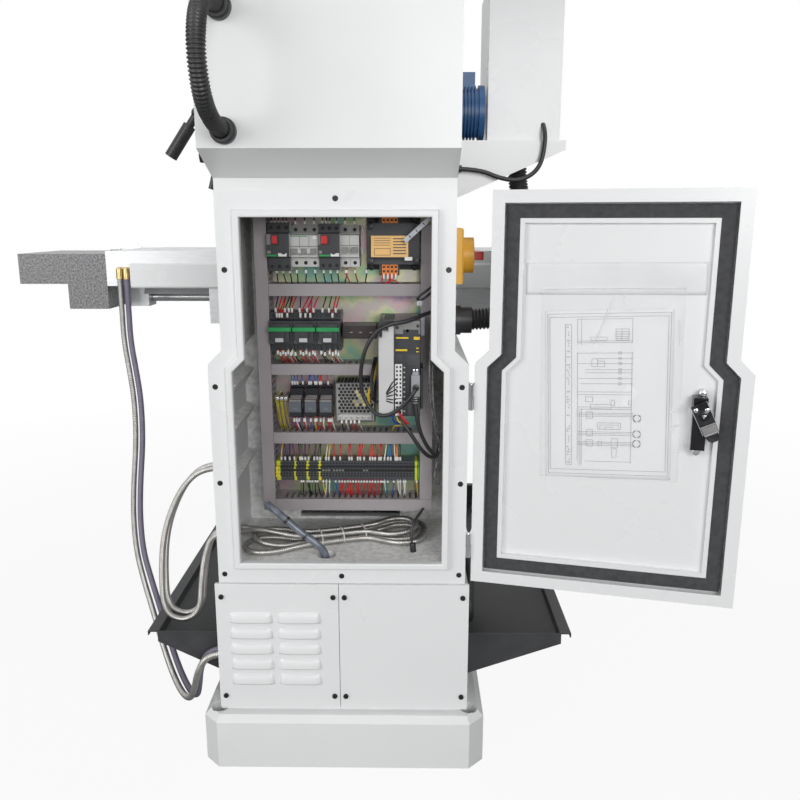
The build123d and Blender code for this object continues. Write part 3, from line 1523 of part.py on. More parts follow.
# Conduit coiled on the recess's floor, both ends in the holes of its +X wall
hank_cord = 12.0
hank_route = [
    (cavity_low_half - 1, 168, 446),
    (162, 150, 441),
    (90, 116, 433),
    (-20, 106, 431.5),
    (-95, 128, 431.5),
    (-120, 188, 431.5),
    (-95, 250, 431.5),
    (-20, 284, 431.5),
    (70, 284, 431.5),
    (126, 248, 431.5),
    (134, 198, 431.5),
    (104, 156, 431.5),
    (40, 134, 431.5),
    (-40, 134, 431.5),
    (-88, 168, 431.5),
    (-88, 216, 432),
    (-50, 250, 434),
    (20, 260, 439),
    (88, 240, 448),
    (150, 212, 450),
    (cavity_low_half - 1, 196, 446),
]
conduit_hank = cord_tube(hank_route, hank_cord, "conduit_hank")
export_step(conduit_hank.part, "parts/conduit_hank.step")

# Glands and hose connectors: rings round the cords at the faces they pass
gland_places = [
    ((half_low, 168, 584), (1, 0, 0), side_cord, 24),
    ((half_low, 196, 584), (1, 0, 0), side_cord, 24),
    ((-half_top, 150, 877), (-1, 0, 0), control_cord, 40),
    ((-367, -120, shelf_z - sheet), (0, 0, -1), control_cord, 26),
    ((166, head_rear, 1207), (0, 1, 0), rear_cord, 26),
    ((166, head_rear, 1390), (0, 1, 0), rear_cord, 26),
    ((-half_top, 20, 1173), (-1, 0, 0), panel_cord, 24),
]
with BuildPart() as cable_glands:
    for place, way, size, length in gland_places:
        rod(place, way, size / 2 + 2 + size / 14, length)
        rod(place, way, size / 2 + 4 + size / 10, length * 0.45)
    for start in (low_route[0], low_route[-1]):
        rod((-half_foot, start[1] - 8, start[2]), (-1, 0, 0), 10, 12)
        rod((start[0], start[1] - 20, start[2]), (0, 1, 0), 11, 30)
    for place, way, size, length in gland_places:
        rod(place, way, size / 2 + 0.6, length + 1, Mode.SUBTRACT)
    for start in (low_route[0], low_route[-1]):
        rod(start, (0, 1, 0), low_cord / 2 + 0.3, 30, Mode.SUBTRACT)
cable_glands.part.label = "cable_glands"
export_step(cable_glands.part, "parts/cable_glands.step")
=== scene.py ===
import math
import random

import bmesh
import bpy
from mathutils import Matrix, Vector, noise


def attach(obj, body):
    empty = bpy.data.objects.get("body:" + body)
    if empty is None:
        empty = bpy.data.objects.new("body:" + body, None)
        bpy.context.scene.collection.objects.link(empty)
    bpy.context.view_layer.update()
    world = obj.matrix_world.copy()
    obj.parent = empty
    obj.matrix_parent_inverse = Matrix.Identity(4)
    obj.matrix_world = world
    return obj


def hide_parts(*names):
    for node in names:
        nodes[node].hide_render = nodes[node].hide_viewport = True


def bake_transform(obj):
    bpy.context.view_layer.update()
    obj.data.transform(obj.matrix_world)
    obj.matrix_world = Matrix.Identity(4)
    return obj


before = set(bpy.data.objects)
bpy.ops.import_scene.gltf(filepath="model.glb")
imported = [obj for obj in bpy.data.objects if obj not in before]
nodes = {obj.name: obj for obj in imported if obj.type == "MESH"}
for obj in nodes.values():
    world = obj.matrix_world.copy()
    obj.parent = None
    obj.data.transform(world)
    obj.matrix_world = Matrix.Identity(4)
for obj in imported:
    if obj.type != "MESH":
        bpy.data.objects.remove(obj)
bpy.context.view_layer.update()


# Castings and sheet parts in white enamel. The paint is slightly uneven, with a fine orange peel;
# inside the cabinet's recess the column keeps its rough, greyer cast skin.
def wired(tree, kind, feeds=(), name="", **settings):
    """Adds a shader node; feeds give its inputs a value or another node's output."""
    node = tree.nodes.new("ShaderNode" + kind)
    node.name = name or node.name
    for setting, value in settings.items():
        setattr(node, setting, value)
    for socket, feed in dict(feeds).items():
        if isinstance(feed, bpy.types.NodeSocket):
            tree.links.new(feed, node.inputs[socket])
        else:
            node.inputs[socket].default_value = feed
    return node


def ramped(node, *stops):
    """Sets the two stops of a colour ramp, each a position and a colour."""
    for element, (position, colour) in zip(node.color_ramp.elements, stops):
        element.position = position
        element.color = [*colour, 1]


def finish(
    name, colour, roughness, metal=0, mottle=0.04, patch=7, grain=0.12, pores=240, depth=0.0004, stretch=(1, 1, 1)
):
    """A procedural finish in object coordinates: cloudy colour, uneven gloss and fine relief."""
    material = bpy.data.materials.new(name)
    material.use_nodes = True
    tree = material.node_tree
    shader = tree.nodes["Principled BSDF"]
    shader.inputs["Metallic"].default_value = metal
    where = wired(tree, "TexCoord")
    grid = wired(tree, "Mapping", {"Vector": where.outputs["Object"], "Scale": stretch})
    clouds = wired(tree, "TexNoise", {"Vector": grid.outputs["Vector"], "Scale": patch, "Detail": 5})
    tint = wired(tree, "ValToRGB", {"Fac": clouds.outputs["Fac"]}, name="tint")
    ramped(tint, (0.35, [c * (1 - mottle) for c in colour]), (0.65, [min(1, c * (1 + mottle)) for c in colour]))
    reach = {"To Min": max(0.03, roughness - 0.07), "To Max": min(1, roughness + 0.07)}
    gloss = wired(tree, "MapRange", {"Value": clouds.outputs["Fac"], **reach})
    pits = wired(tree, "TexNoise", {"Vector": grid.outputs["Vector"], "Scale": pores, "Detail": 2}, name="pits")
    fine = {"Height": pits.outputs["Fac"], "Strength": grain, "Distance": depth}
    relief = wired(tree, "Bump", fine, name="relief")
    tree.links.new(tint.outputs["Color"], shader.inputs["Base Color"])
    tree.links.new(gloss.outputs["Result"], shader.inputs["Roughness"])
    tree.links.new(relief.outputs["Normal"], shader.inputs["Normal"])
    return material


def dress(material, *names):
    """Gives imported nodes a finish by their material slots."""
    for name in names:
        for slot in nodes[name].material_slots:
            slot.material = material


def masked(material, other, *boxes):
    """Mixes a second, speckled colour into a finish inside boxes of object space (mm)."""
    tree = material.node_tree
    where = wired(tree, "TexCoord")
    split = wired(tree, "SeparateXYZ", {"Vector": where.outputs["Object"]})
    inside = None
    for box in boxes:
        within = None
        for axis, (low, high) in box.items():
            near = {0: split.outputs[axis], 1: (low + high) / 2000, 2: (high - low) / 2000}
            band = wired(tree, "Math", near, operation="COMPARE").outputs[0]
            both = {0: within, 1: band}
            within = wired(tree, "Math", both, operation="MULTIPLY").outputs[0] if within else band
        either = {0: inside, 1: within}
        inside = wired(tree, "Math", either, operation="MAXIMUM").outputs[0] if inside else within
    specks = wired(tree, "TexNoise", {"Vector": where.outputs["Object"], "Scale": 90, "Detail": 8})
    rough = wired(tree, "ValToRGB", {"Fac": specks.outputs["Fac"]})
    ramped(rough, (0.3, [c * 0.72 for c in other]), (0.6, other))
    plain = tree.nodes["tint"].outputs["Color"]
    blend = wired(tree, "Mix", data_type="RGBA")
    for socket, feed in ((0, inside), (6, plain), (7, rough.outputs["Color"])):
        tree.links.new(feed, blend.inputs[socket])
    tree.links.new(blend.outputs[2], tree.nodes["Principled BSDF"].inputs["Base Color"])
    strong = wired(tree, "Math", {0: inside, 1: 6.0}, operation="MULTIPLY")
    deep = {0: specks.outputs["Fac"], 1: strong.outputs[0], 2: tree.nodes["pits"].outputs["Fac"]}
    height = wired(tree, "Math", deep, operation="MULTIPLY_ADD")
    tree.links.new(height.outputs[0], tree.nodes["relief"].inputs["Height"])
    return material


enamel = finish("white_enamel", (0.79, 0.80, 0.80), 0.34, mottle=0.018, patch=5, grain=0.10, pores=150)
sheet_enamel = finish(
    "white_sheet_enamel", (0.80, 0.81, 0.815), 0.28, mottle=0.005, patch=4, grain=0.05, pores=200
)
column_enamel = masked(
    finish("white_column_enamel", (0.79, 0.80, 0.80), 0.36, mottle=0.018, patch=5, grain=0.12, pores=150),
    (0.88, 0.88, 0.87),
    {"X": (-219.8, 219.8), "Y": (56, 290), "Z": (400, 812)},
    {"X": (-205, 205), "Y": (56, 290), "Z": (812, 1118)},
)
dress(enamel, "base_plinth", "headstock_housing", "ram", "vertical_head", "knee")
dress(
    sheet_enamel, "rear_frame", "plain_cover", "control_bracket", "control_box", "cabinet_door", "scale_cover"
)
dress(column_enamel, "column_casting")

# Tray in dark textured paint, machine slides in ground iron with fine parallel marks,
# and the plain steel, chrome and brass of spindles, wheels and fittings.
dress(
    finish(
        "dark_tray_paint_look",
        (0.04, 0.041, 0.044),
        0.55,
        mottle=0.14,
        patch=30,
        grain=0.35,
        pores=500,
        depth=0.0005,
    ),
    "chip_tray",
)
dress(
    finish(
        "ground_iron_look",
        (0.66, 0.67, 0.68),
        0.34,
        metal=0.55,
        mottle=0.05,
        patch=14,
        grain=0.12,
        pores=60,
        stretch=(2, 30, 30),
    ),
    "table",
    "saddle",
)
dress(
    finish("turned_steel", (0.60, 0.61, 0.62), 0.26, metal=1.0, mottle=0.06, patch=10, grain=0.06, pores=300),
    "quill",
    "vertical_spindle",
    "quill_lever",
    "horizontal_spindle",
    "lift_screw",
    "x_lead_screw",
)
chrome = finish(
    "polished_chrome", (0.72, 0.73, 0.74), 0.14, metal=1.0, mottle=0.04, patch=9, grain=0.03, pores=120
)
dress(chrome, "z_crank", "y_handwheel", "x_handwheel", "frame_hinges", "door_hinges")
brass = finish("plain_brass", (0.62, 0.47, 0.22), 0.3, metal=1.0, mottle=0.12, patch=60, grain=0.08, pores=400)
dress(brass, "table_elbows")
black_metal = finish(
    "blackened_steel", (0.03, 0.03, 0.032), 0.38, metal=0.4, mottle=0.2, patch=60, grain=0.15, pores=700
)
dress(black_metal, "panel_screws")
black_grip = finish(
    "black_grip_plastic", (0.018, 0.018, 0.02), 0.36, mottle=0.2, patch=40, grain=0.12, pores=600
)
dress(black_grip, "clamp_lever", "ram_lever")
dress(
    finish("blue_motor_enamel", (0.02, 0.09, 0.24), 0.4, mottle=0.08, patch=12, grain=0.12, pores=200),
    "feed_motor",
    "head_motor",
)
hammered = finish(
    "hammered_grey_paint",
    (0.20, 0.20, 0.205),
    0.34,
    mottle=0.55,
    patch=210,
    grain=0.55,
    pores=170,
    depth=0.0007,
)
dress(hammered, "end_box")
dress(
    finish("switch_red_plastic", (0.55, 0.02, 0.015), 0.35, mottle=0.06, patch=30, grain=0.06, pores=500),
    "switch_knob",
    "emergency_button",
)
dress(
    finish("switch_yellow_plastic", (0.85, 0.45, 0.04), 0.4, mottle=0.05, patch=20, grain=0.06, pores=500),
    "main_switch",
)
dress(
    finish("gland_plastic", (0.03, 0.03, 0.033), 0.45, mottle=0.15, patch=50, grain=0.1, pores=500),
    "cable_glands",
)

# Mounting plate in passivated zinc: its sheen drifts between green, yellow, pink and violet.
zinc = finish(
    "passivated_zinc", (0.62, 0.60, 0.50), 0.34, metal=0.8, mottle=0.05, patch=11, grain=0.05, pores=400
)
ramp = zinc.node_tree.nodes["tint"].color_ramp
ramp.elements[0].color = (0.22, 0.42, 0.36, 1)
ramp.elements[0].position = 0.36
ramp.elements[1].color = (0.30, 0.24, 0.36, 1)
ramp.elements[1].position = 0.66
for position, colour in (
    (0.43, (0.36, 0.48, 0.28, 1)), (0.48, (0.52, 0.50, 0.34, 1)), (0.54, (0.42, 0.40, 0.37, 1)),
    (0.60, (0.52, 0.36, 0.38, 1)),
):
    ramp.elements.new(position).color = colour
dress(zinc, "mounting_plate")
dress(
    finish("duct_plastic_look", (0.31, 0.285, 0.295), 0.5, mottle=0.04, patch=16, grain=0.08, pores=500),
    "wire_ducts",
)


# Circuit breakers on the top rail: two motor breakers in black plastic with red buttons, five light
# grey modules with toggles. The colour changes along X; fronts, tags and screw wells are set on.
def banded(material, axis, low, high, bands):
    """Replaces a finish's colour by steps along one axis of object space; bands are (start, colour)."""
    tree = material.node_tree
    where = wired(tree, "TexCoord")
    split = wired(tree, "SeparateXYZ", {"Vector": where.outputs["Object"]})
    reach = {"From Min": low / 1000, "From Max": high / 1000}
    along = wired(tree, "MapRange", {"Value": split.outputs[axis], **reach})
    steps = wired(tree, "ValToRGB", {"Fac": along.outputs["Result"]})
    steps.color_ramp.interpolation = "CONSTANT"
    for number, (start, colour) in enumerate(bands):
        position = (start - low) / (high - low)
        element = steps.color_ramp.elements[0] if number == 0 else steps.color_ramp.elements.new(position)
        element.position = position
        element.color = (*colour, 1)
    steps.color_ramp.elements.remove(steps.color_ramp.elements[-1])
    tree.links.new(steps.outputs["Color"], tree.nodes["Principled BSDF"].inputs["Base Color"])
    return material


def fitted(piece, material, body):
    """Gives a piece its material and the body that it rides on."""
    piece.data.materials.append(material)
    if body:
        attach(piece, body)
    return piece


def link(name, mesh, material, body):
    """Puts a finished mesh into the scene as a piece."""
    piece = bpy.data.objects.new(name, mesh)
    bpy.context.scene.collection.objects.link(piece)
    return fitted(piece, material, body)


def begun(name):
    """An empty piece in edit mode, alone in the selection, for primitives to be added to."""
    bpy.ops.object.select_all(action="DESELECT")
    piece = bpy.data.objects.new(name, bpy.data.meshes.new(name))
    bpy.context.scene.collection.objects.link(piece)
    bpy.context.view_layer.objects.active = piece
    piece.select_set(True)
    bpy.ops.object.mode_set(mode="EDIT")
    return piece


def baked(piece):
    """Applies every modifier of a piece."""
    bpy.ops.object.select_all(action="DESELECT")
    bpy.context.view_layer.objects.active = piece
    piece.select_set(True)
    for modifier in list(piece.modifiers):
        bpy.ops.object.modifier_apply(modifier=modifier.name)
    return piece


def rounded(piece, rounding, **limits):
    """Rounds a piece's sharp edges by a width in mm."""
    bevel = piece.modifiers.new("edges", "BEVEL")
    bevel.width = rounding / 1000
    bevel.segments = 2
    for setting, value in limits.items():
        setattr(bevel, setting, value)
    return baked(piece)


def blocks(name, spans, rounding, material, slot, body="column", place=Matrix()):
    """One piece of bevelled blocks, each a cube at the size and place of its X, Y and Z spans in mm."""
    piece = begun(name)
    for box in spans:
        middle = Vector([(low + high) / 2000 for low, high in box])
        size = Vector([(high - low) / 1000 for low, high in box])
        bpy.ops.mesh.primitive_cube_add(
            size=1, calc_uvs=False, location=place @ middle, rotation=place.to_euler(), scale=size
        )
    bpy.ops.object.mode_set(mode="OBJECT")
    fitted(piece, material, body)
    return rounded(piece, rounding) if rounding else piece


def pegs(name, ends, radius, material, slot, body="column", sides=12, rounding=0.4, place=Matrix()):
    """One piece of round pegs, each a cylinder between its two ends in mm, with softened rims."""
    piece = begun(name)
    for start, end in ends:
        start, end = Vector(start) / 1000, Vector(end) / 1000
        turn = place.to_3x3() @ (end - start).to_track_quat("Z", "Y").to_matrix()
        bpy.ops.mesh.primitive_cylinder_add(
            vertices=sides,
            radius=radius / 1000,
            depth=(end - start).length,
            calc_uvs=False,
            location=place @ ((start + end) / 2),
            rotation=turn.to_euler(),
        )
    bpy.ops.object.mode_set(mode="OBJECT")
    fitted(piece, material, body)
    rounded(piece, rounding, angle_limit=math.radians(50))
    bpy.ops.object.shade_smooth_by_angle(angle=math.radians(40))
    return piece


dark = (0.022, 0.023, 0.027)
light = (0.50, 0.50, 0.49)
plastic_black = finish(
    "black_device_plastic", (0.026, 0.029, 0.034), 0.42, mottle=0.15, patch=40, grain=0.08, pores=600
)
plastic_grey = finish(
    "grey_device_plastic", (0.20, 0.20, 0.195), 0.45, mottle=0.05, patch=30, grain=0.06, pores=600
)
plastic_light = finish("light_device_plastic", light, 0.45, mottle=0.03, patch=30, grain=0.06, pores=600)
plastic_white = finish(
    "white_tag_plastic", (0.74, 0.74, 0.73), 0.45, mottle=0.03, patch=30, grain=0.04, pores=500
)
plastic_green = finish(
    "green_device_plastic", (0.01, 0.26, 0.07), 0.42, mottle=0.08, patch=30, grain=0.05, pores=500
)
plastic_red = finish(
    "red_device_plastic", (0.52, 0.015, 0.018), 0.36, mottle=0.06, patch=30, grain=0.05, pores=500
)
# Holes, wells, slots and grooves are drawn as thin near-black pieces on the faces: painted shade for the dark
# inside each opening.
hole_shade_look = finish("painted_hole_shade", (0.008, 0.008, 0.008), 0.75, mottle=0.1, patch=40, grain=0.05, pores=400)
breaker_look = banded(
    finish("breaker_plastic", light, 0.42, grain=0.06, pores=600),
    "X",
    -40,
    140,
    [(-40, light), (0.4, dark), (40.8, light), (93.6, dark)],
)
dress(breaker_look, "circuit_breakers")
dress(plastic_black, "contactors", "servo_drive")
blocks(
    "breaker_buttons",
    [((x0, x1), (225.5, 227.5), (1026.5, 1041.5)) for x0, x1 in ((115.5, 126.5), (22.5, 34.5))],
    1.2,
    plastic_red,
    "switch_red",
)
blocks(
    "breaker_green_lines",
    [((118, 136.6), (219.6, 220.8), (1003.2, 1006.6)), ((17.8, 39.6), (219.6, 220.8), (1003.2, 1006.6))]
    + [((62, 92), (211.6, 212.5), (1039.4, 1040.8))],
    0.2,
    plastic_green,
    "switch_red",
)
blocks(
    "breaker_tags",
    [
        ((99.5, 115.5), (219.7, 221), (1003.2, 1009.4)),
        ((1.8, 17.2), (219.7, 221), (1003.2, 1009.4)),
        ((43.5, 51), (211.7, 212.6), (1035, 1040.4)),
    ],
    0.3,
    plastic_white,
    "device_grey",
)
blocks(
    "breaker_shoulders",
    [
        ((41.6, 93), (195.9, 196.5), (1044.6, 1059.7)),
        ((-16.9, -0.1), (195.9, 196.5), (1044.6, 1059.7)),
        ((-34.7, -17.9), (195.9, 196.5), (1044.6, 1059.7)),
    ]
    + [
        ((41.4, 93), (211.8, 212.4), (1020.6, 1022.4)),
        ((-16.8, -0.2), (211.8, 212.4), (1022.4, 1024)),
        ((-34.6, -18), (211.8, 212.4), (1022.4, 1024)),
    ]
    + [
        ((128.4, 136.4), (219.7, 220.5), (1025, 1044)), ((35.8, 40), (219.7, 220.5), (1025, 1044)),
        ((129, 136), (219.7, 220.5), (1008.5, 1014)), ((33.5, 39.6), (219.7, 220.5), (1008.5, 1014)),
    ],
    0.3,
    plastic_grey,
    "device_grey",
)
blocks(
    "breaker_toggles",
    [((x0, x1), (218, 222.6), (1007.6, 1017.6)) for x0, x1 in ((78.9, 90.4), (61.8, 72.9), (44.7, 55.4))]
    + [((x0, x1), (218, 222.4), (1009.6, 1020.6)) for x0, x1 in ((-15.6, -4.4), (-33.1, -22))],
    0.8,
    plastic_grey,
    "black_plastic",
)
# The breakers' screw wells are near-black discs: painted shade for their insides.
pegs(
    "breaker_wells",
    [((x, y - 0.3, z), (x, y + 0.25, z)) for x in (101, 115.5, 130) for z, y in ((984, 205), (1056, 205))]
    + [((x, y - 0.3, z), (x, y + 0.25, z)) for x in (7.5, 20.5, 33.5) for z, y in ((986, 205), (1054.5, 205))]
    + [
        ((x, y - 0.3, z), (x, y + 0.25, z))
        for x in (49.7, 67.2, 84.7, -8.5, -26.3)
        for z, y in ((990.5, 196), (1052, 196.5))
    ],
    3.5,
    hole_shade_look,
    "black_plastic",
    sides=20,
    rounding=0.15,
)

# Contactors on the second rail: three black plastic bodies, each with a green band, a blank tag
# that would carry its marking, and small moulded steps.
contactor_edges = [2.2 + 45.6 * n for n in range(3)]
blocks(
    "contactor_bands",
    [((x + 0.8, x + 44.2), (222, 231), (863.6, 871.4)) for x in contactor_edges],
    0.8,
    plastic_green,
    "switch_red",
)
blocks(
    "contactor_tags",
    [((x + 16, x + 31.5), (225.5, 231), (843.6, 851.2)) for x in contactor_edges],
    0.5,
    plastic_light,
    "device_grey",
)
blocks(
    "contactor_marks",
    [
        ((x + x0, x + x1), (y, y + 0.7), z)
        for x in contactor_edges
        for x0, x1, y, z in (
            (36, 43, 215.8, (839.5, 845)),
            (4, 15, 215.6, (874, 875.4)),
            (20, 31, 215.6, (874, 875.4)),
        )
    ],
    0.3,
    plastic_grey,
    "device_grey",
)

# Relays on the third rail: smoky clear hoods on black sockets, so the colour changes along Z; their sloping
# tops, painted lighter than the hoods as a painted highlight, and small contact marks are set on.
smoke = (0.115, 0.13, 0.15)
relay_look = banded(
    finish("relay_smoke_look", smoke, 0.16, mottle=0.1, patch=60, grain=0.04, pores=200),
    "Z",
    680,
    755,
    [(680, dark), (701, smoke), (727, dark)],
)
dress(relay_look, "relays")
# The hood tops take a lighter copy of the smoke colour: a painted highlight where light falls on them.
painted_highlight_top_look = finish("relay_hood_top_painted_highlight", (0.34, 0.31, 0.295), 0.2, mottle=0.12, patch=60, grain=0.04, pores=200)
blocks(
    "relay_tops_painted_highlight",
    [((x0 + 1.2, x1 - 1.2), (-14, 13), (-1.2, 0.8)) for x0, x1 in ((82, 107), (52, 76.5), (22, 47))],
    0.6,
    painted_highlight_top_look,
    "device_grey",
    place=Matrix.Translation((0, 0.1935, 0.7268)) @ Matrix.Rotation(math.radians(-12), 4, "X"),
)
blocks(
    "relay_marks",
    [
        ((x0 + a, x0 + b), (205, 205.4), (z, z + 0.9))
        for x0 in (82, 52, 22)
        for a, b, z in ((9, 18, 709), (7, 16, 706.4))
    ],
    0,
    plastic_grey,
    "device_grey",
)

# Power supply: a case of bright perforated sheet. Its hexagonal holes are dark pits of painted shade in
# staggered rows, with a few coloured parts behind them, cooling slots in painted shade above and a terminal row
# below.
mesh_metal = finish(
    "perforated_steel", (0.34, 0.34, 0.335), 0.36, metal=0.9, mottle=0.05, patch=20, grain=0.05, pores=500
)
dress(mesh_metal, "power_supply")
grid = [(-57 + 7.4 * i + (3.7 if j % 2 else 0), 706 + 6.4 * j) for j in range(9) for i in range(9)]
lit = [(x, z) for x, z in grid if -47 < x < -22 and 716 < z < 746]
pegs(
    "supply_holes",
    [((x, 214.4, z), (x, 215.35, z)) for x, z in grid if (x, z) not in lit[::2] + lit[5::6]],
    3.35,
    hole_shade_look,
    "black_plastic",
    sides=6,
    rounding=0.15,
)
pegs(
    "supply_parts",
    [((x, 214.2, z), (x, 215.15, z)) for x, z in lit[::2]],
    3.3,
    finish("yellow_part", (0.50, 0.42, 0.12), 0.5, mottle=0.4, patch=300, grain=0.05, pores=400),
    "coil_yellow",
    sides=6,
    rounding=0.15,
)
pegs(
    "supply_blue_parts",
    [((x, 214.2, z), (x, 215.15, z)) for x, z in ((-16.3, 725.2), (-20, 706), (-12.6, 706))],
    3.2,
    finish("blue_part", (0.02, 0.12, 0.34), 0.4, mottle=0.3, patch=200, grain=0.05, pores=400),
    "motor_blue",
    sides=6,
    rounding=0.15,
)
blocks(
    "supply_terminal_row",
    [((-56.5, 7.5), (212.4, 215.2), (688.5, 699.4))] + [
        ((-54.5 + 11 * n, -46 + 11 * n), (214, 216.6), (690, 698)) for n in range(6)
    ],
    1.0,
    plastic_light,
    "device_grey",
)
pegs(
    "supply_screws",
    [((-50 + 11 * n, 216, 694), (-50 + 11 * n, 217.2, 694)) for n in range(6)],
    2.6,
    mesh_metal,
    "chrome_parts",
    sides=16,
)
blocks(
    "supply_fins",
    [((-24.5 + 6.6 * n - 2, -24.5 + 6.6 * n + 2), (164, 211), (761.2, 762.6)) for n in range(-5, 6)],
    0.2,
    hole_shade_look,
    "black_plastic",
)

# Transformer: a black moulded body on bolted feet, with a wrapped orange label of blank lines and
# orange terminals at both ends.
dress(plastic_black, "transformer")
label_orange = finish("wrapped_label", (0.76, 0.46, 0.16), 0.42, mottle=0.05, patch=25, grain=0.05, pores=300)
blocks("transformer_label", [((-127, -58), (224.6, 225.8), (1002.4, 1041.4))], 0.3, label_orange, "coil_yellow")
blocks(
    "transformer_tag", [((-134.5, -120.5), (222.5, 226.4), (996.2, 1002.6))], 0.3, plastic_white, "device_grey"
)
bars = [((-123, -99), (225.7, 226.1), (1035 - 5.4 * n, 1036.8 - 5.4 * n)) for n in range(6)]
bars += [((-94, -64), (225.7, 226.1), (1036.4 - 4.2 * n, 1037.2 - 4.2 * n)) for n in range(4)]
bars += [
    ((-94, -93.2), (225.7, 226.1), (1006, 1018)), ((-94, -64), (225.7, 226.1), (1005.6, 1006.4)),
    ((-94, -64), (225.7, 226.1), (1017.6, 1018.4)), ((-64.8, -64), (225.7, 226.1), (1006, 1018)),
]
blocks("transformer_label_lines", bars, 0.1, plastic_black, "black_plastic")
orange = finish(
    "orange_terminal_plastic", (0.75, 0.22, 0.03), 0.4, mottle=0.05, patch=30, grain=0.05, pores=500
)
blocks(
    "transformer_terminals",
    [
        ((-107.4 + 7.6 * n, -100.2 + 7.6 * n), (188, 201), span)
        for n in range(4)
        for span in ((1057, 1076.5), (968.5, 989))
    ],
    0.9,
    orange,
    "coil_yellow",
)
# The terminals' openings are near-black pieces: painted shade for their insides.
blocks(
    "transformer_terminal_holes",
    [
        ((-105.7 + 7.6 * n, -101.9 + 7.6 * n), (200.6, 201.3), (z, z + 4))
        for n in range(4)
        for z in (1059.5, 1067.5, 973, 981)
    ],
    0.2,
    hole_shade_look,
    "black_plastic",
)
pegs(
    "transformer_loop_sleeves",
    [((-103.8 + 7.6 * n, 199.4, 970), (-103.8 + 7.6 * n, 200.6, 961)) for n in range(4)],
    2.0,
    plastic_white,
    "device_grey",
    sides=8,
    rounding=0.3,
)
pegs(
    "transformer_feet_bolts",
    [((x, 205, z), (x, 210.5, z)) for x in (-142, -56) for z in (1058, 994)]
    + [((x, 143.5, z), (x, 152, z)) for x in (-139, -55) for z in (1070, 980)],
    6.2,
    black_metal,
    "zinc_steel",
    sides=20,
)

# Servo drive: a black plastic body with a light grey pillar and top panel, blank yellow bars, and
# a pale column of pluggable connectors with dark pins beside their sockets.
drive_grey = finish(
    "drive_grey_plastic", (0.56, 0.56, 0.565), 0.42, mottle=0.03, patch=20, grain=0.06, pores=500
)
blocks(
    "drive_pillar",
    [
        ((-101.2, -73), (262, 283.5), (714, 860)),
        ((-101.2, -79.5), (262, 283), (858, 872)),
        ((-101.2, -91), (262, 282.5), (870, 880.5)),
    ],
    1.4,
    drive_grey,
    "device_grey",
)
blocks(
    "drive_top_panel",
    [((-149.4, -101.6), (160, 276.4), (865.5, 890))],
    1.0,
    plastic_grey,
    "device_grey",
)
pegs(
    "drive_top_screws",
    [((x, 276, z), (x, 277, z)) for x, z in ((-107, 878), (-145, 881), (-126, 872))],
    3.2,
    black_metal,
    "black_plastic",
    sides=16,
)
blocks(
    "drive_lower_front",
    [((-149.3, -125.5), (274, 276), (713, 828.5)), ((-117.5, -101.8), (274, 276), (812, 828.5))],
    0.6,
    finish("drive_dark_front", (0.045, 0.047, 0.052), 0.4, mottle=0.1, patch=30, grain=0.06, pores=500),
    "black_plastic",
)
blocks(
    "drive_front_bars",
    [
        ((-128, -105), (276.8, 277.8), (857.4, 860.4)), ((-148.5, -137.5), (276.8, 277.8), (855.4, 861)),
        ((-126, -104), (276.8, 277.8), (834.4, 838)), ((-147, -142), (276.8, 277.8), (838.8, 840.8)),
        ((-147, -142), (276.8, 277.8), (832.4, 834.4)),
    ],
    0.3,
    finish("yellow_bar_plastic", (0.75, 0.52, 0.03), 0.4, mottle=0.05, patch=30, grain=0.04, pores=500),
    "switch_yellow",
)
blocks(
    "drive_connectors",
    [((-116.6, -102.8), (274, 280.2), (746, 810.5)), ((-116.6, -103.3), (274, 281), (712.5, 744.5))],
    0.9,
    plastic_white,
    "device_grey",
)
blocks(
    "drive_connector_pins",
    [((x, x + 3), (279.8, 280.7), (750 + 7.6 * n, 754 + 7.6 * n)) for n in range(8) for x in (-114.6, -108.4)]
    + [((x, x + 4), (280.6, 281.6), (718 + 8.6 * n, 723 + 8.6 * n)) for n in range(3) for x in (-115, -109)],
    0.3,
    hole_shade_look,
    "black_plastic",
)
blocks("drive_sockets", [((-124.8, -117.2), (274, 277.6), (713, 811))], 0.5, plastic_black, "black_plastic")
blocks(
    "drive_socket_marks",
    [((-121.8, -118.8), (277.2, 278), (720 + 9.2 * n, 722.4 + 9.2 * n)) for n in range(10)],
    0.3,
    plastic_light,
    "device_grey",
)

# Terminal strip on the lowest rail: dark grey plastic blocks with rows of square wire holes and a
# marking groove, set between yellow-green earth blocks. A short earth bar sits beside the relays.
strip_dark = (0.05, 0.054, 0.06)
strip_pitch = 6.2
strip_green = (0.12, 0.34, 0.05)
strip_yellow = (0.72, 0.60, 0.03)
bands = [(-160, strip_green), (-146, strip_yellow), (-142.4, strip_green), (-141, strip_dark)]
for low in (46.8, 71.2, 95.6):
    bands += [(low, strip_green), (low + 1.2, strip_yellow), (low + 5.6, strip_green), (low + 6.8, strip_dark)]
bands += [(128, strip_green), (130.5, strip_yellow), (137, strip_green)]
dress(
    banded(finish("strip_plastic", strip_dark, 0.5, grain=0.06, pores=500), "X", -160, 150, bands),
    "terminal_strip",
)
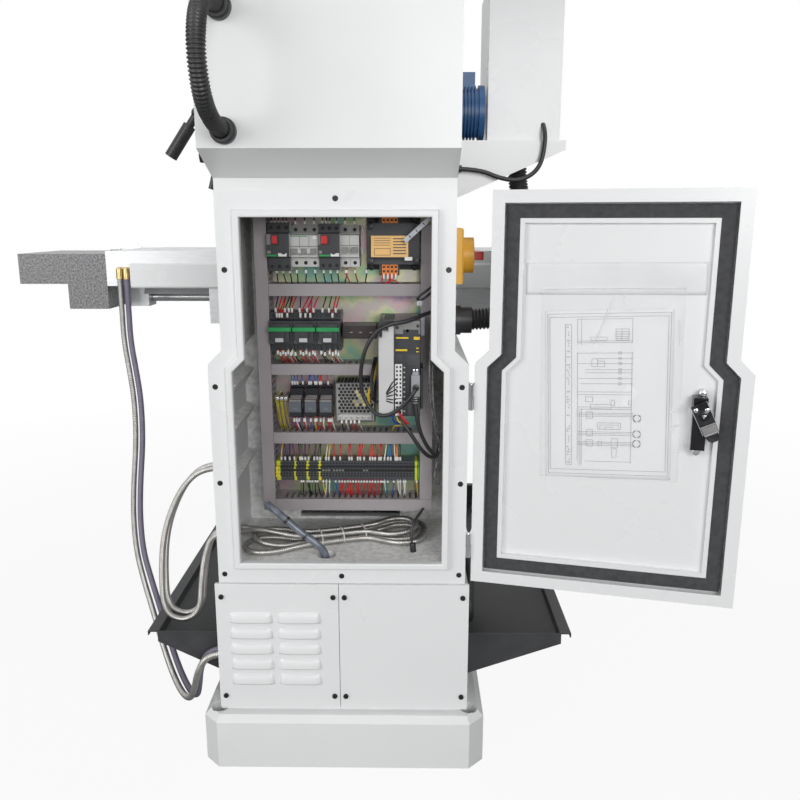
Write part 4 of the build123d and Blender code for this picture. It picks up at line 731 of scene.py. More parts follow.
# The strip's wire holes and marking groove are near-black pieces: painted shade for their insides.
blocks(
    "strip_holes",
    [
        ((-140.4 + strip_pitch * n, -136.8 + strip_pitch * n), (top - 0.6, top + 0.35), (z, z + 3.2))
        for n in range(44)
        for z, top in ((589.5, 186), (583.6, 195), (571, 195), (566.4, 195))
    ],
    0.1,
    hole_shade_look,
    "black_plastic",
)
blocks("strip_groove", [((-140, 128), (194.9, 195.25), (576.4, 581.8))], 0.1, hole_shade_look, "black_plastic")
blocks(
    "strip_marks",
    [((x, x + 4.4), (195.1, 195.9), (577.4, 580.8)) for x in (40.4, 34.4, 28.4, 19, 13, 7, 1, -41.5, -47.5)],
    0.3,
    plastic_grey,
    "device_grey",
)
pegs(
    "earth_block_bumps",
    [((x, 192, z), (x, 197.4, z)) for x in (131.6, 136.2) for z in (567, 574.5, 584)],
    2.9,
    finish("earth_yellow", strip_yellow, 0.42, mottle=0.05, patch=30, grain=0.05, pores=500),
    "switch_yellow",
    sides=16,
    rounding=1.2,
)
blocks(
    "earth_bar_cap",
    [((109.5, 135.5), (189, 193), (720, 731.4))],
    0.6,
    finish("dull_earth_bar", (0.20, 0.175, 0.155), 0.4, metal=0.6, mottle=0.15, patch=60, grain=0.1, pores=400),
    "brass_parts",
)
pegs(
    "earth_bar_screws",
    [((x, 192, 726), (x, 195.5, 726)) for x in (114, 122.5, 131)],
    3.0,
    chrome,
    "chrome_parts",
    sides=16,
)

# Small leads of the cabinet, plastic-covered wires from the terminals through blank white sleeves
# into the ducts. Each is a smooth curve with its own slack; leads of one colour form one piece.
lead_looks = {
    colour: finish("lead_" + colour, shade, gloss, mottle=mottle, patch=patch, grain=0.05, pores=900)
    for colour, shade, gloss, mottle, patch in (
        ("black", (0.016, 0.016, 0.018), 0.42, 0.1, 60),
        ("red", (0.62, 0.012, 0.02), 0.4, 0.08, 60),
        ("white", (0.72, 0.71, 0.68), 0.42, 0.05, 60),
        ("blue", (0.03, 0.10, 0.42), 0.42, 0.08, 60),
        ("yellow", (0.78, 0.52, 0.02), 0.42, 0.08, 60),
        ("green", (0.05, 0.20, 0.05), 0.42, 0.08, 60),
        ("teal", (0.02, 0.22, 0.30), 0.42, 0.08, 60),
        ("orange", (0.75, 0.20, 0.04), 0.42, 0.08, 60),
        ("earth", (0.46, 0.40, 0.02), 0.42, 0.25, 120),
        ("brown", (0.09, 0.05, 0.03), 0.45, 0.08, 60),
    )
}
leads = {colour: [] for colour in lead_looks}
sleeves = []
shake = random.Random(7)


def lead(colour, x, start, end, sleeve=9.0, drift=0.0):
    """One lead from a terminal (Y, Z) to a duct's slot (Y, Z), drifting sideways on its way."""
    (y0, z0), (y1, z1) = start, end
    way = 1 if z1 > z0 else -1
    dx = drift + shake.uniform(-2.5, 2.5)
    bow = shake.uniform(2, 8)
    reach = abs(z1 - z0)
    points = [
        (x, y0 - 3, z0),
        (x, y0 + 1, z0 + way * 2),
        (x + dx * 0.05, y0 + 3, z0 + way * min(sleeve, reach * 0.4)),
        (x + dx * 0.3 + shake.uniform(-1, 1), (y0 + y1) / 2 + bow, z0 + way * reach * 0.5),
        (x + dx * 0.75, (y0 + 2 * y1) / 3 + bow, z0 + way * reach * 0.75),
        (x + dx, y1 + 2, z0 + way * reach * 0.95),
        (x + dx, y1 - 8, z1 + way * 4),
    ]
    leads[colour].append(points)
    if sleeve:
        sleeves.append((Vector(points[1]) + Vector((0, 0.6, 0)), Vector(points[2]) + Vector((0, 0.6, 0))))


def strands(name, routes, diameter, material, body="column", sides=2, fine=5):
    """One mesh piece of several smooth round strands; routes are control points in mm."""
    curve = bpy.data.curves.new(name, "CURVE")
    curve.dimensions = "3D"
    curve.bevel_depth = diameter / 2000
    curve.bevel_resolution = sides
    curve.resolution_u = fine
    curve.use_fill_caps = True
    for route in routes:
        spline = curve.splines.new("NURBS")
        spline.points.add(len(route) - 1)
        for point, place in zip(spline.points, route):
            point.co = (place[0] / 1000, place[1] / 1000, place[2] / 1000, 1)
        spline.order_u = 4
        spline.use_endpoint_u = True
    drawn = bpy.data.objects.new(name + "_line", curve)
    mesh = bpy.data.meshes.new_from_object(drawn)
    bpy.data.objects.remove(drawn)
    mesh.materials.clear()
    piece = link(name, mesh, material, body)
    mesh.name = name
    for face in mesh.polygons:
        face.use_smooth = True
    return piece


# from the breakers down into the first duct
for x, colour, drift in (
    (123, "black", 3), (111, "black", 0), (98, "black", 2), (84.7, "black", 2), (67.2, "black", 4),
    (49.7, "black", 1),
    (33.5, "black", -1), (20.5, "black", 1), (7.5, "black", 1), (-8.5, "red", -7), (-26.3, "red", -4),
    (-10.5, "black", 8), (-48, "black", 3),
):
    lead(colour, x, (194, 979), (170, 950), 8, drift)
# from the breakers up behind the frame's top edge
for x in (130, 123, 116, 109, 102, 84.7, 67.2, 49.7, 33.5, 27, 20.5, 7.5, -8.5, -26.3):
    lead("black", x, (196, 1060), (176, 1100), 8, shake.uniform(-4, 4))
# from the contactors up into the first duct and down into the second
for x, colour, sleeve_z, drift in (
    (125.5, "black", 902, 0), (123, "red", 893, -8), (118, "red", 893, -6), (113, "red", 893, -3),
    (108, "black", 902, -6),
    (103, "red", 893, -10), (100.5, "black", 902, -3), (94.5, "red", 902, -7), (79.6, "black", 902, 0),
    (78, "red", 893, -12),
    (68.4, "black", 893, -9), (65.9, "red", 902, -8), (59, "red", 893, 2), (53.5, "red", 902, -5),
    (36.2, "black", 902, -3),
    (23.8, "black", 902, -2), (16.8, "red", 893, -7), (10.9, "red", 902, -3),
):
    lead(colour, x, (206 if sleeve_z > 900 else 212, sleeve_z - 6), (170, 929), 10, drift)
for n, (colour, x) in enumerate((
    ("red", 124), ("red", 119), ("red", 114), ("red", 109), ("white", 104), ("red", 99), ("white", 96),
    ("black", 90),
    ("red", 80), ("red", 75), ("white", 69), ("red", 63), ("red", 56), ("white", 52), ("black", 40),
    ("black", 33),
    ("white", 24), ("red", 18), ("white", 12), ("white", 7),
)):
    lead(colour, x, (207, 826 - n % 2 * 3), (172, 794), 9, -6)
# from the relays and the earth bar
for x, colour in (
    (102, "blue"), (97, "blue"), (92, "blue"), (81, "blue"), (69, "blue"), (65, "blue"), (57, "blue"),
    (54, "blue"), (48, "red"), (45, "red"), (31, "red"),
):
    lead(colour, x, (178, 750), (170, 777), 9, shake.uniform(-3, 3))
for x, colour in (
    (100, "red"), (95, "white"), (90, "black"), (80, "red"), (78, "white"), (67, "red"), (66, "blue"),
    (58, "yellow"), (55, "red"),
    (47, "red"), (41, "white"), (31, "red"), (27, "red"), (24, "white"),
):
    lead(colour, x, (182, 686), (172, 657), 9, -3)
for x, drift in ((132, -3), (129.5, -7), (123.5, -5), (121, -7), (115, -8)):
    lead("earth", x, (196, 722), (172, 657), 0, drift)
# from the supply's terminals
for x, colour in ((-6, "black"), (-15, "white"), (-24, "red"), (-31, "red"), (-40, "white")):
    lead(colour, x + 8, (214, 690), (174, 657), 8, -2)
# from the strip's upper and lower rows
for x, colour in (
    (127, "yellow"), (119.5, "brown"), (110.3, "black"), (100.7, "brown"), (89.5, "black"), (88, "green"),
    (85, "brown"), (79, "black"), (72.5, "brown"),
    (61, "black"), (55, "brown"), (49, "black"), (37.5, "white"), (32, "yellow"), (20.5, "red"), (8.8, "red"),
    (-9.4, "red"), (-14.6, "red"),
    (-26.4, "red"), (-31.6, "red"), (-39.4, "red"), (-51, "red"), (-56.3, "red"), (-61.5, "red"),
    (-69.3, "red"), (-73.2, "red"), (-80.3, "white"),
    (-87, "teal"), (-92.8, "blue"), (-102, "white"), (-104, "orange"), (-107, "orange"), (-112, "black"),
):
    lead(colour, x, (188, 597), (172, 637), 9, shake.uniform(-5, 5))
lower = [
    (88, "green"), (84, "black"), (76, "black"), (71, "black"), (66, "green"), (60, "black"), (55.7, "black"),
    (44, "yellow"), (37.5, "white"), (31, "white"), (19, "blue"),
]
lower += [(11.4 - 5.6 * n, "red") for n in range(16)]
lower += [
    (-76, "brown"), (-80, "white"), (-87, "teal"), (-99, "blue"), (-107, "white"), (-112, "white"),
    (-118.6, "white"), (-122.5, "white"), (-145, "yellow"),
]
for x, colour in lower:
    lead(colour, x, (187, 557), (172, 518), 5, shake.uniform(-6, 4))
for colour, routes in leads.items():
    strands("leads_" + colour, routes, 2.3, lead_looks[colour])
pegs("lead_sleeves", sleeves, 2.1, plastic_white, "device_grey", sides=8, rounding=0.25)
strands(
    "transformer_loops",
    [
        [(-100.5, 199, 969), (-101, 200, 962), (-92, 196, 955), (-82, 190, 953), (-80, 184, 944)],
        [(-93, 199, 969), (-95, 199, 961), (-88, 194, 953), (-89, 188, 944)],
        [(-86, 199, 969), (-88, 200, 961), (-99, 196, 955), (-106, 190, 958), (-109, 184, 946)],
        [(-79, 199, 969), (-79, 199, 962), (-76, 193, 957), (-74, 184, 944)],
    ],
    2.3,
    lead_looks["red"],
)

# Heavy leads in front of the drive: black rubber cables that arc into the motor plug, the signal
# bunch, thin yellow, red and blue leads, and the mottled loops that hang at the cabinet's edge.
cable_black = finish("cable_black", (0.018, 0.018, 0.02), 0.4, mottle=0.15, patch=30, grain=0.12, pores=700)
arc = [
    (-176, 250, 905), (-152, 268, 900), (-131, 282, 890), (-105, 290, 888), (-81, 293, 882), (-65, 294, 868),
    (-50, 292, 844), (-42, 289, 815),
    (-39, 284, 782), (-43, 280, 751), (-57, 283, 725), (-76, 290, 713), (-98, 297, 719), (-121, 304, 739),
    (-137, 310, 760), (-141.5, 306, 770), (-141.5, 298, 770),
]
below = [
    (-141, 289, 742), (-142, 291, 724), (-145, 291, 703), (-153, 284, 673), (-169, 276, 643), (-184, 268, 628),
    (-188, 250, 640), (-189, 225, 665),
]
second = [
    (-108, 278, 712), (-122, 288, 697), (-139, 288, 669), (-156, 282, 642), (-174, 272, 626), (-186, 258, 630),
    (-189, 235, 650),
]
strands("drive_cables", [arc, below, second], 7.5, cable_black, sides=3, fine=8)
bunch = []
for n, z in enumerate((784, 774, 764, 755, 745, 738)):
    bunch.append([
        (-109, 277, z), (-100, 284, z - 2), (-90 + n, 284, 760 - n * 3), (-78 + n, 279 - n, 745 - n),
        (-69 + n, 268, 733 + n * 0.6),
        (-62 + n * 0.6, 250, 738), (-58 + n * 0.8, 235, 768), (-61 + n * 0.6, 222, 790), (-66 + n, 208, 802),
        (-66 + n, 180, 806),
    ])
strands("signal_bunch", bunch, 3.0, cable_black, fine=7)
strands(
    "yellow_leads",
    [
        [
            (-66, 205, 800), (-66, 225, 786), (-61, 230, 766), (-53, 231, 751), (-51, 230, 730),
            (-57, 226, 711), (-60, 200, 700),
        ],
        [
            (-64, 205, 800), (-63, 222, 786), (-58, 226, 766), (-50, 227, 748), (-49, 226, 728),
            (-55, 220, 706), (-58, 196, 690),
        ],
        [
            (-109, 276, 716), (-104, 284, 709), (-114, 286, 700), (-121, 280, 694), (-118, 262, 690),
            (-106, 240, 684), (-98, 215, 676), (-96, 190, 660),
        ],
    ],
    2.4,
    lead_looks["yellow"],
)
strands(
    "plug_leads",
    [
        [(-112, 276, 722), (-112, 284, 718), (-120, 286, 706), (-130, 280, 696)],
        [(-108, 276, 727), (-107, 285, 722), (-116, 288, 708), (-127, 283, 697)],
    ],
    2.4,
    lead_looks["red"],
)
strands(
    "brake_lead",
    [
        [
            (-100, 232, 712), (-98, 238, 704), (-97, 236, 694), (-101, 226, 686), (-112, 214, 680),
            (-124, 198, 672), (-126, 180, 658),
        ],
    ],
    4.6,
    lead_looks["blue"],
)
strands(
    "hanging_leads",
    [
        [
            (-176, 225, 960), (-172, 255, 900), (-169, 262, 850), (-168, 266, 813), (-166, 268, 787),
            (-167, 269, 750), (-173, 268, 712), (-180, 266, 684), (-185, 262, 660), (-190, 250, 648),
        ],
        [
            (-180, 222, 950), (-177, 248, 890), (-174, 258, 840), (-172, 264, 780), (-174, 266, 730),
            (-181, 264, 690), (-190, 256, 668),
        ],
        [
            (-192, 240, 664), (-188, 258, 652), (-184, 262, 620), (-179, 262, 594), (-177, 256, 577),
            (-182, 238, 565), (-190, 220, 560),
        ],
    ],
    4.2,
    finish("cable_grey", (0.15, 0.15, 0.15), 0.4, mottle=0.75, patch=260, grain=0.3, pores=900),
    fine=8,
)

# Motor plug: a grey moulded body of two rounded blocks with chrome screws on top, black glands
# where the cables enter and bright clamping rings; beside it the small blue brake plug.
plug_grey = finish("plug_grey_plastic", (0.30, 0.31, 0.32), 0.4, mottle=0.04, patch=30, grain=0.06, pores=500)
blocks(
    "drive_plug",
    [((-149.5, -133), (279.5, 297), (752, 793)), ((-147.5, -135), (281, 294), (791, 798))],
    2.2,
    plug_grey,
    "device_grey",
)
pegs(
    "plug_screws",
    [((x, 288, 797), (x, 288, 803)) for x in (-144.2, -138.2)],
    2.6,
    chrome,
    "chrome_parts",
    sides=16,
)
pegs(
    "plug_glands",
    [((-141, 289, 753), (-141, 289, 739)), ((-141.5, 296, 770), (-141.5, 303, 770))],
    6.2,
    black_grip,
    "black_plastic",
    sides=20,
    rounding=1.2,
)
pegs(
    "plug_gland_rings",
    [((-141, 289, z), (-141, 289, z - 2)) for z in (750.5, 746, 741.5)],
    7.0,
    mesh_metal,
    "chrome_parts",
    sides=20,
    rounding=0.6,
)
blocks("brake_plug", [((-97, -90.5), (226, 236), (699, 716))], 1.2, lead_looks["blue"], "motor_blue")

# Small module on the second rail, brown plastic with blank marks, and the drive's side terminals.
blocks(
    "rail_module_face",
    [((-65.6, -1.4), (199.4, 200.8), (847, 871))],
    0.6,
    finish("brown_module", (0.02, 0.012, 0.01), 0.45, mottle=0.2, patch=40, grain=0.06, pores=300),
    "black_plastic",
)
blocks(
    "rail_module_marks",
    [((x, x + 5), (200.6, 201.2), (858, 859.2)) for x in (-58, -38, -20)],
    0,
    plastic_light,
    "device_grey",
)
blocks(
    "drive_terminal_column", [((-155.5, -150.5), (200, 262), (722, 800))], 1.0, plastic_black, "black_plastic"
)

# Fixings of the leads: a black tie, clear grey straps with dark marks, and the ribbed clear sleeve
# that takes the leads through the cabinet's floor between two black bands.
strands(
    "cable_ties",
    [
        [
            (-184, 240, 962), (-166, 260, 946), (-152, 262, 938), (-143, 258, 930), (-146, 254, 922),
            (-158, 256, 930), (-176, 248, 944), (-188, 236, 952),
        ],
    ],
    4.6,
    cable_black,
    fine=8,
)
clip_look = finish("clear_grey_strap", (0.46, 0.48, 0.52), 0.2, mottle=0.1, patch=80, grain=0.08, pores=300)
blocks(
    "tie_blocks",
    [((-154, -143), (250, 260), (915, 925)), ((-158, -150), (250, 258), (860, 900))],
    2.0,
    clip_look,
    "clear_film",
)
strap_turn = Matrix.Translation((-0.147, 0.244, 1.0555)) @ Matrix.Rotation(math.radians(-48), 4, "Y")
blocks("strap", [((-4.5, 4.5), (-1.2, 1.2), (-36, 36))], 0.8, clip_look, "clear_film", place=strap_turn)
blocks(
    "strap_marks",
    [((-2.4, 2.4), (0.9, 1.6), (z, z + 2)) for z in (-24, -8, 10, 26)],
    0.4,
    black_grip,
    "black_plastic",
    place=strap_turn,
)
strands(
    "floor_sleeve",
    [
        [
            (150, 235, 520), (134, 246, 513), (110, 252, 494), (85, 254, 471), (58, 256, 452), (40, 257, 436),
            (33, 255, 420), (33, 255, 395),
        ],
    ],
    15,
    finish("sleeve_clear_grey", (0.16, 0.18, 0.22), 0.22, mottle=0.25, patch=60, grain=0.15, pores=90),
    sides=4,
    fine=8,
)
pegs(
    "sleeve_bands",
    [((112.5, 251.5, 496), (108.5, 252, 492.5)), ((76, 254.4, 464), (72.5, 254.8, 461))],
    8.1,
    black_grip,
    "black_plastic",
    sides=24,
)
strands(
    "floor_lead",
    [
        [
            (-158, 200, 500), (-150, 232, 500), (-142, 246, 496), (-134, 256, 478), (-134, 260, 458),
            (-137, 262, 446),
        ],
    ],
    5.5,
    cable_black,
    fine=8,
)
pegs(
    "floor_lead_cap",
    [((-136.5, 262, 452), (-138.5, 262.5, 434))],
    6.2,
    black_grip,
    "black_plastic",
    sides=20,
    rounding=1.2,
)

# Door pocket: a clear bag with a paper plan of plain lines and boxes, hung from a strip of tape on
# the folded door's inner face, inside its foam seal. Places are given on the closed door.
hinge_x, hinge_y, inner_skin = 243, 296, 28
door_angle = math.radians(166.7)
door_place = Matrix.Translation((-hinge_x / 1000, hinge_y / 1000, 0)) @ Matrix.Rotation(door_angle, 4, "Z")
dress(
    finish("seal_foam", (0.055, 0.056, 0.06), 0.85, mottle=0.2, patch=90, grain=0.7, pores=700, depth=0.0012),
    "door_gasket",
)
paper_look = finish("paper_sheet", (0.82, 0.83, 0.84), 0.6, mottle=0.012, patch=10, grain=0.04, pores=300)
ink_look = finish("printed_line", (0.09, 0.09, 0.10), 0.6, mottle=0.1, patch=60, grain=0.03, pores=500)


def leaf(name, middle, wide, tall, lean, depth, swell, material, seed, cells=34):
    """A thin sheet on the door's inner face, turned by a lean in degrees, with soft creases."""
    count = int(cells * tall / wide)
    tilt = math.radians(lean)
    piece = begun(name)
    bpy.ops.mesh.primitive_grid_add(x_subdivisions=cells, y_subdivisions=count, size=1, calc_uvs=False)
    bpy.ops.object.mode_set(mode="OBJECT")
    for vertex in piece.data.vertices:
        i, j = round((vertex.co.x + 0.5) * cells), round((vertex.co.y + 0.5) * count)
        x, z = wide * (i / cells - 0.5), tall * (j / count - 0.5)
        edge = min(i, cells - i, j, count - j) / 4
        broad = noise.noise(Vector((x / 60 + seed, z / 75, seed)))
        crease = broad + 0.5 * noise.noise(Vector((x / 24, z / 30 + seed, seed)))
        y = inner_skin - depth - swell * (0.6 + crease) * min(1, edge)
        across = middle[0] + x * math.cos(tilt) - z * math.sin(tilt)
        height = middle[1] + x * math.sin(tilt) + z * math.cos(tilt)
        vertex.co = door_place @ (Vector((across + hinge_x, y, height)) / 1000)
    fitted(piece, material, "door")
    thick = piece.modifiers.new("sheet", "SOLIDIFY")
    thick.thickness = 0.00025
    baked(piece)
    bpy.ops.object.shade_smooth()
    return piece


sheet_lean = 2.5
sheet_middle, sheet_wide, sheet_tall = (-0.5, 762), 220, 308
leaf("plan_sheet", sheet_middle, sheet_wide, sheet_tall, sheet_lean, 0.8, 0.5, paper_look, 3.0)
sheet_place = (
    door_place
    @ Matrix.Translation(((sheet_middle[0] + hinge_x) / 1000, 0, sheet_middle[1] / 1000))
    @ Matrix.Rotation(math.radians(-sheet_lean), 4, "Y")
    @ Matrix.Translation((-sheet_wide / 2000, 0, -sheet_tall / 2000))
)
ink_depth, half_line = (26.15, 26.35), 0.22
plan = []


def level(z, *spans):
    """Level lines on the plan at one height."""
    plan.extend(((x0, x1), ink_depth, (z - half_line, z + half_line)) for x0, x1 in spans)


def upright(x, *spans):
    """Upright lines on the plan at one place."""
    plan.extend(((x - half_line, x + half_line), ink_depth, (z0, z1)) for z0, z1 in spans)


def box_lines(x0, x1, z0, z1):
    """The outline of a box on the plan."""
    level(z0, (x0, x1))
    level(z1, (x0, x1))
    upright(x0, (z0, z1))
    upright(x1, (z0, z1))


box_lines(5, 215, 7, 302)
box_lines(8.5, 211, 15, 296)
box_lines(36, 46.5, 24, 283)
for n in range(52):
    if shake.random() < 0.6:
        box_lines(38.5 + shake.choice((0, 3.6)), 41 + shake.choice((0, 2.4)), 28 + 4.9 * n, 29.6 + 4.9 * n)
upright(57, (246, 293), (32, 232), (232, 233))
upright(64, (246, 293), (24, 130))
upright(60.5, (24, 126))
upright(151, (250, 294), (29, 232))
for z in (292, 250, 253):
    level(z, (57, 151))
for z, start in ((231.5, 57), (221.5, 92), (212.5, 57), (201.5, 70), (196, 70), (185.5, 57), (176, 62)):
    level(z, (start, 153))
    box_lines(128.5, 133, z - 2, z + 2)
for z in (161, 156, 133, 129):
    level(z, (57, 151))
for z in (122, 119, 116, 87, 84, 81, 68, 65, 62):
    level(z, (58, 155))
level(31.5, (70, 151))
for x0, x1, z0, z1 in (
    (123, 133, 254, 274), (133, 145, 254, 274), (80, 108, 254, 260), (82, 92, 207, 221), (92, 104, 207, 217),
    (116, 122, 136, 146), (146, 151, 138, 145),
    (80, 116, 130, 138), (73, 84, 112, 124), (73, 84, 79, 91), (73, 84, 60, 72), (94, 100, 61, 69),
    (117, 128, 58, 75), (118, 126, 40, 56), (93, 133, 92, 104), (97, 129, 92, 100),
    (105, 120, 92, 96), (71, 84, 143, 152),
):
    box_lines(x0, x1, z0, z1)
for z in (257, 261, 265, 269):
    level(z, (123, 145))
ring_x, ring_radius, ring_sides, half_dot = 161, 6.6, 14, 0.15
for centre in (113, 84, 66):
    corners = [
        (ring_x + ring_radius * math.cos(t), centre + ring_radius * math.sin(t))
        for t in (2 * math.pi * k / ring_sides for k in range(ring_sides + 1))
    ]
    for (x0, z0), (x1, z1) in zip(corners, corners[1:]):
        across = (min(x0, x1) - half_dot, max(x0, x1) + half_dot)
        plan.append((across, ink_depth, (min(z0, z1) - half_dot, max(z0, z1) + half_dot)))
blocks("plan_lines", plan, 0, ink_look, "clear_film", body="door", place=sheet_place)
film = finish(
    "clear_film_look", (0.93, 0.94, 0.95), 0.1, mottle=0.02, patch=10, grain=0.3, pores=26, depth=0.004
)
film.node_tree.nodes["Principled BSDF"].inputs["Alpha"].default_value = 0.1
bag = leaf("pocket_bag", (2, 780), 244, 346, 1.6, 1.6, 2.6, film, 5.0, cells=46)
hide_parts("document_pocket")
tape = finish("tape_strip", (0.76, 0.77, 0.78), 0.2, mottle=0.03, patch=14, grain=0.12, pores=60, depth=0.001)
leaf("pocket_tape", (0, 970), 304, 56, 1.0, 0.9, 0.7, tape, 8.0, cells=46)
# Near-white strands on the bag's film are painted highlights: the glints along its top fold and its creases.
painted_highlight_look = finish("film_painted_highlight", (0.9, 0.91, 0.92), 0.12, mottle=0.02, patch=40, grain=0.02, pores=200)
creases = [
    [(-125, 25.2, 950), (-60, 24.8, 952.5), (0, 24.8, 954), (60, 24.8, 955.5), (117, 25.2, 957.5)],
    [(-30, 24.6, 857), (-21, 24.2, 878), (-12, 24.2, 900), (-5, 24.2, 922), (-3, 24.6, 938)],
    [(16, 24.6, 942), (17, 24.2, 936), (20, 24.4, 929)],
    [(108, 24.4, 738), (114, 24.0, 742), (121, 24.4, 743)],
    [(110, 24.4, 706), (115, 24.0, 712), (121, 24.4, 717)],
    [(113, 24.6, 662), (119, 24.0, 661), (124, 24.4, 663)],
    [(112, 24.8, 902), (113, 24.4, 880), (116, 24.8, 858)],
    [(-110, 25.2, 604), (-60, 24.8, 606), (0, 24.8, 607), (60, 24.8, 609), (124, 25.2, 612)],
]
placed = [
    [tuple(1000 * (door_place @ (Vector((x + hinge_x, y, z)) / 1000))) for x, y, z in route]
    for route in creases
]
strands("film_painted_highlights", placed, 1.3, painted_highlight_look, body="door")

# Latch: a cast black case with a chrome edge and two chrome bosses on the door's inner face, its
# keyed collar outside, and the stamped cam with two bends, screwed to the shaft that turns it.
latch_x, latch_z, latch_face = hinge_x + 158, 745, -1.2
case_black = finish(
    "latch_case_black", (0.014, 0.014, 0.016), 0.2, metal=0.3, mottle=0.2, patch=60, grain=0.1, pores=500
)
dark_chrome = finish(
    "smoked_chrome", (0.10, 0.10, 0.105), 0.12, metal=1.0, mottle=0.3, patch=60, grain=0.05, pores=200
)
on_door = {"body": "door", "place": door_place}
case_span = (latch_x - 15.5, latch_x + 8.5)
case_block = (case_span, (latch_face, inner_skin), (678, 772))
case = blocks("latch_case", [case_block], 1.6, case_black, "chrome_parts", **on_door)
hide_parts("latch_housing")
edge_span = (latch_x - 17.2, latch_x - 15.1)
blocks("latch_edge", [(edge_span, (-1, 27.8), (680, 748))], 0.5, chrome, "chrome_parts", **on_door)
pegs(
    "latch_bosses",
    [((x, 8, z), (x, inner_skin, z)) for x, z in ((latch_x, 777), (latch_x - 4, 673))],
    6.6,
    chrome,
    "chrome_parts",
    sides=28,
    rounding=2.6,
    **on_door,
)
pegs(
    "latch_collar",
    [((latch_x, 26, latch_z), (latch_x, 34, latch_z))],
    13,
    chrome,
    "chrome_parts",
    sides=36,
    rounding=1.2,
    **on_door,
)
slot_span = (latch_x - 1.2, latch_x + 1.2)
# The key slot is a near-black strip: painted shade for its inside.
blocks("latch_key_slot", [(slot_span, (33.2, 34.4), (739, 751))], 0.3, hole_shade_look, "black_plastic", **on_door)
cam_place = (
    door_place @ Matrix.Translation((latch_x / 1000, 0, latch_z / 1000)) @ Matrix.Rotation(
        math.radians(64), 4, "Y"
    )
)
plate_start, plate_step = (-19, -7.4, 14), (21, -7.4, 14)
plate = begun("latch_plate")
plate_middle = Vector((plate_start[0] + plate_step[0], 2 * plate_start[1], 0)) / 2000
plate_size = Vector((plate_step[0] - plate_start[0], 1000, 2 * plate_start[2])) / 1000
bpy.ops.mesh.primitive_plane_add(
    size=1, calc_uvs=False, location=plate_middle, rotation=(math.radians(90), 0, 0)
)
bpy.ops.transform.resize(value=plate_size, center_override=plate_middle)
bpy.ops.mesh.select_all(action="DESELECT")
form = bmesh.from_edit_mesh(plate.data)
for corner in form.verts:
    corner.select_set(corner.co.x > 0)
form.select_flush_mode()
bmesh.update_edit_mesh(plate.data)
reached = plate_step
for station in ((24, -4.9, 13.6), (37, -4.9, 13), (40, -2.9, 11.5), (49, -2.9, 9.5), (54, -2.9, 5)):
    run, rise, narrowing = station[0] - reached[0], station[1] - reached[1], station[2] / reached[2]
    bpy.ops.mesh.extrude_edges_move(TRANSFORM_OT_translate={"value": (run / 1000, rise / 1000, 0)})
    bpy.ops.transform.resize(value=(1, 1, narrowing), center_override=(0, 0, 0))
    reached = station
bpy.ops.object.mode_set(mode="OBJECT")
plate.data.transform(cam_place)
fitted(plate, dark_chrome, "latch_cam")
thick = plate.modifiers.new("sheet", "SOLIDIFY")
thick.thickness = 0.002
thick.offset = 0
rounded(plate, 0.5)
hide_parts("latch_cam")
on_cam = {"body": "latch_cam", "place": cam_place}
bends = [
    ((20.4, 23.6), (-8.4, -5.4), (-13.2, 13.2)),
    ((36.6, 40), (-6.2, -3.4), (-12, 12)),
    ((-18.6, 36), (-8.6, -6.6), (-14.6, -13.6)),
    ((-18.6, 20), (-8.6, -6.6), (13.6, 14.6)),
]
blocks("latch_plate_bends", bends, 0.5, chrome, "chrome_parts", **on_cam)
step_block = ((24.6, 36.2), (-6.4, -5.2), (-12.4, 12.4))
blocks("latch_plate_step", [step_block], 0.4, mesh_metal, "chrome_parts", **on_cam)
screws = [((x, -8, z), (x, -11, z)) for x, z in ((-10.5, -8), (-4, 9))]
pegs("latch_plate_screws", screws, 4.2, chrome, "chrome_parts", sides=24, rounding=1.4, **on_cam)
hub_ends, drive_ends = ((4, -4, 0), (4, -9.4, 0)), ((4, -8, 0), (4, -11.6, 0))
pegs("latch_plate_hub", [hub_ends], 9, case_black, "chrome_parts", sides=32, rounding=0.8, **on_cam)
pegs("latch_plate_drive", [drive_ends], 4.6, chrome, "chrome_parts", sides=3, rounding=0.5, **on_cam)

# Louvred cover: a screwed steel panel in white enamel with two columns of pressed louvres. One
# louvre is shaped from a grid, a pillow with round shoulders over a straight slit, then copied.
cover_top, cover_low, cover_out = 383, 118, 305
louvre_x, column_step, louvre_z, louvre_step = 178, -94, 304, -33
half_wide, louvre_tall, proud, sunk = 42, 21, 7.9, 0.3
cover = blocks(
    "louvred_panel", [((6.5, 246), (297, cover_out), (cover_low, cover_top))], 0.8, sheet_enamel, "white_paint"
)
louvres = begun("louvres")
bpy.ops.mesh.primitive_grid_add(x_subdivisions=24, y_subdivisions=8, size=1, calc_uvs=False)
bpy.ops.object.mode_set(mode="OBJECT")
for vertex in louvres.data.vertices:
    u = math.sin(math.pi * vertex.co.x)
    w = min(1, max(0, vertex.co.y + 0.5))
    rise = proud * max(0, 1 - abs(u) ** 5) ** 0.5 * max(0, 1 - w**2.4) ** 0.5
    x = louvre_x + half_wide * (1 - 0.1 * w**3) * u
    vertex.co = Vector((x, cover_out - sunk + rise, louvre_z + louvre_tall * w)) / 1000
foot = [vertex.co.z < (louvre_z + 0.01) / 1000 for vertex in louvres.data.vertices]
louvres.data.vertices.foreach_set("select", foot)
louvres.data.edges.foreach_set(
    "select", [foot[a] and foot[b] for a, b in (e.vertices for e in louvres.data.edges)]
)
louvres.data.polygons.foreach_set("select", [False] * len(louvres.data.polygons))
bpy.ops.object.mode_set(mode="EDIT")
bpy.ops.mesh.extrude_edges_move(TRANSFORM_OT_translate={"value": (0, 0, 0)})
bpy.ops.transform.resize(value=(1, 0, 1), center_override=(0, (cover_out - 1.5) / 1000, 0))
bpy.ops.mesh.select_all(action="SELECT")
bpy.ops.mesh.flip_normals()
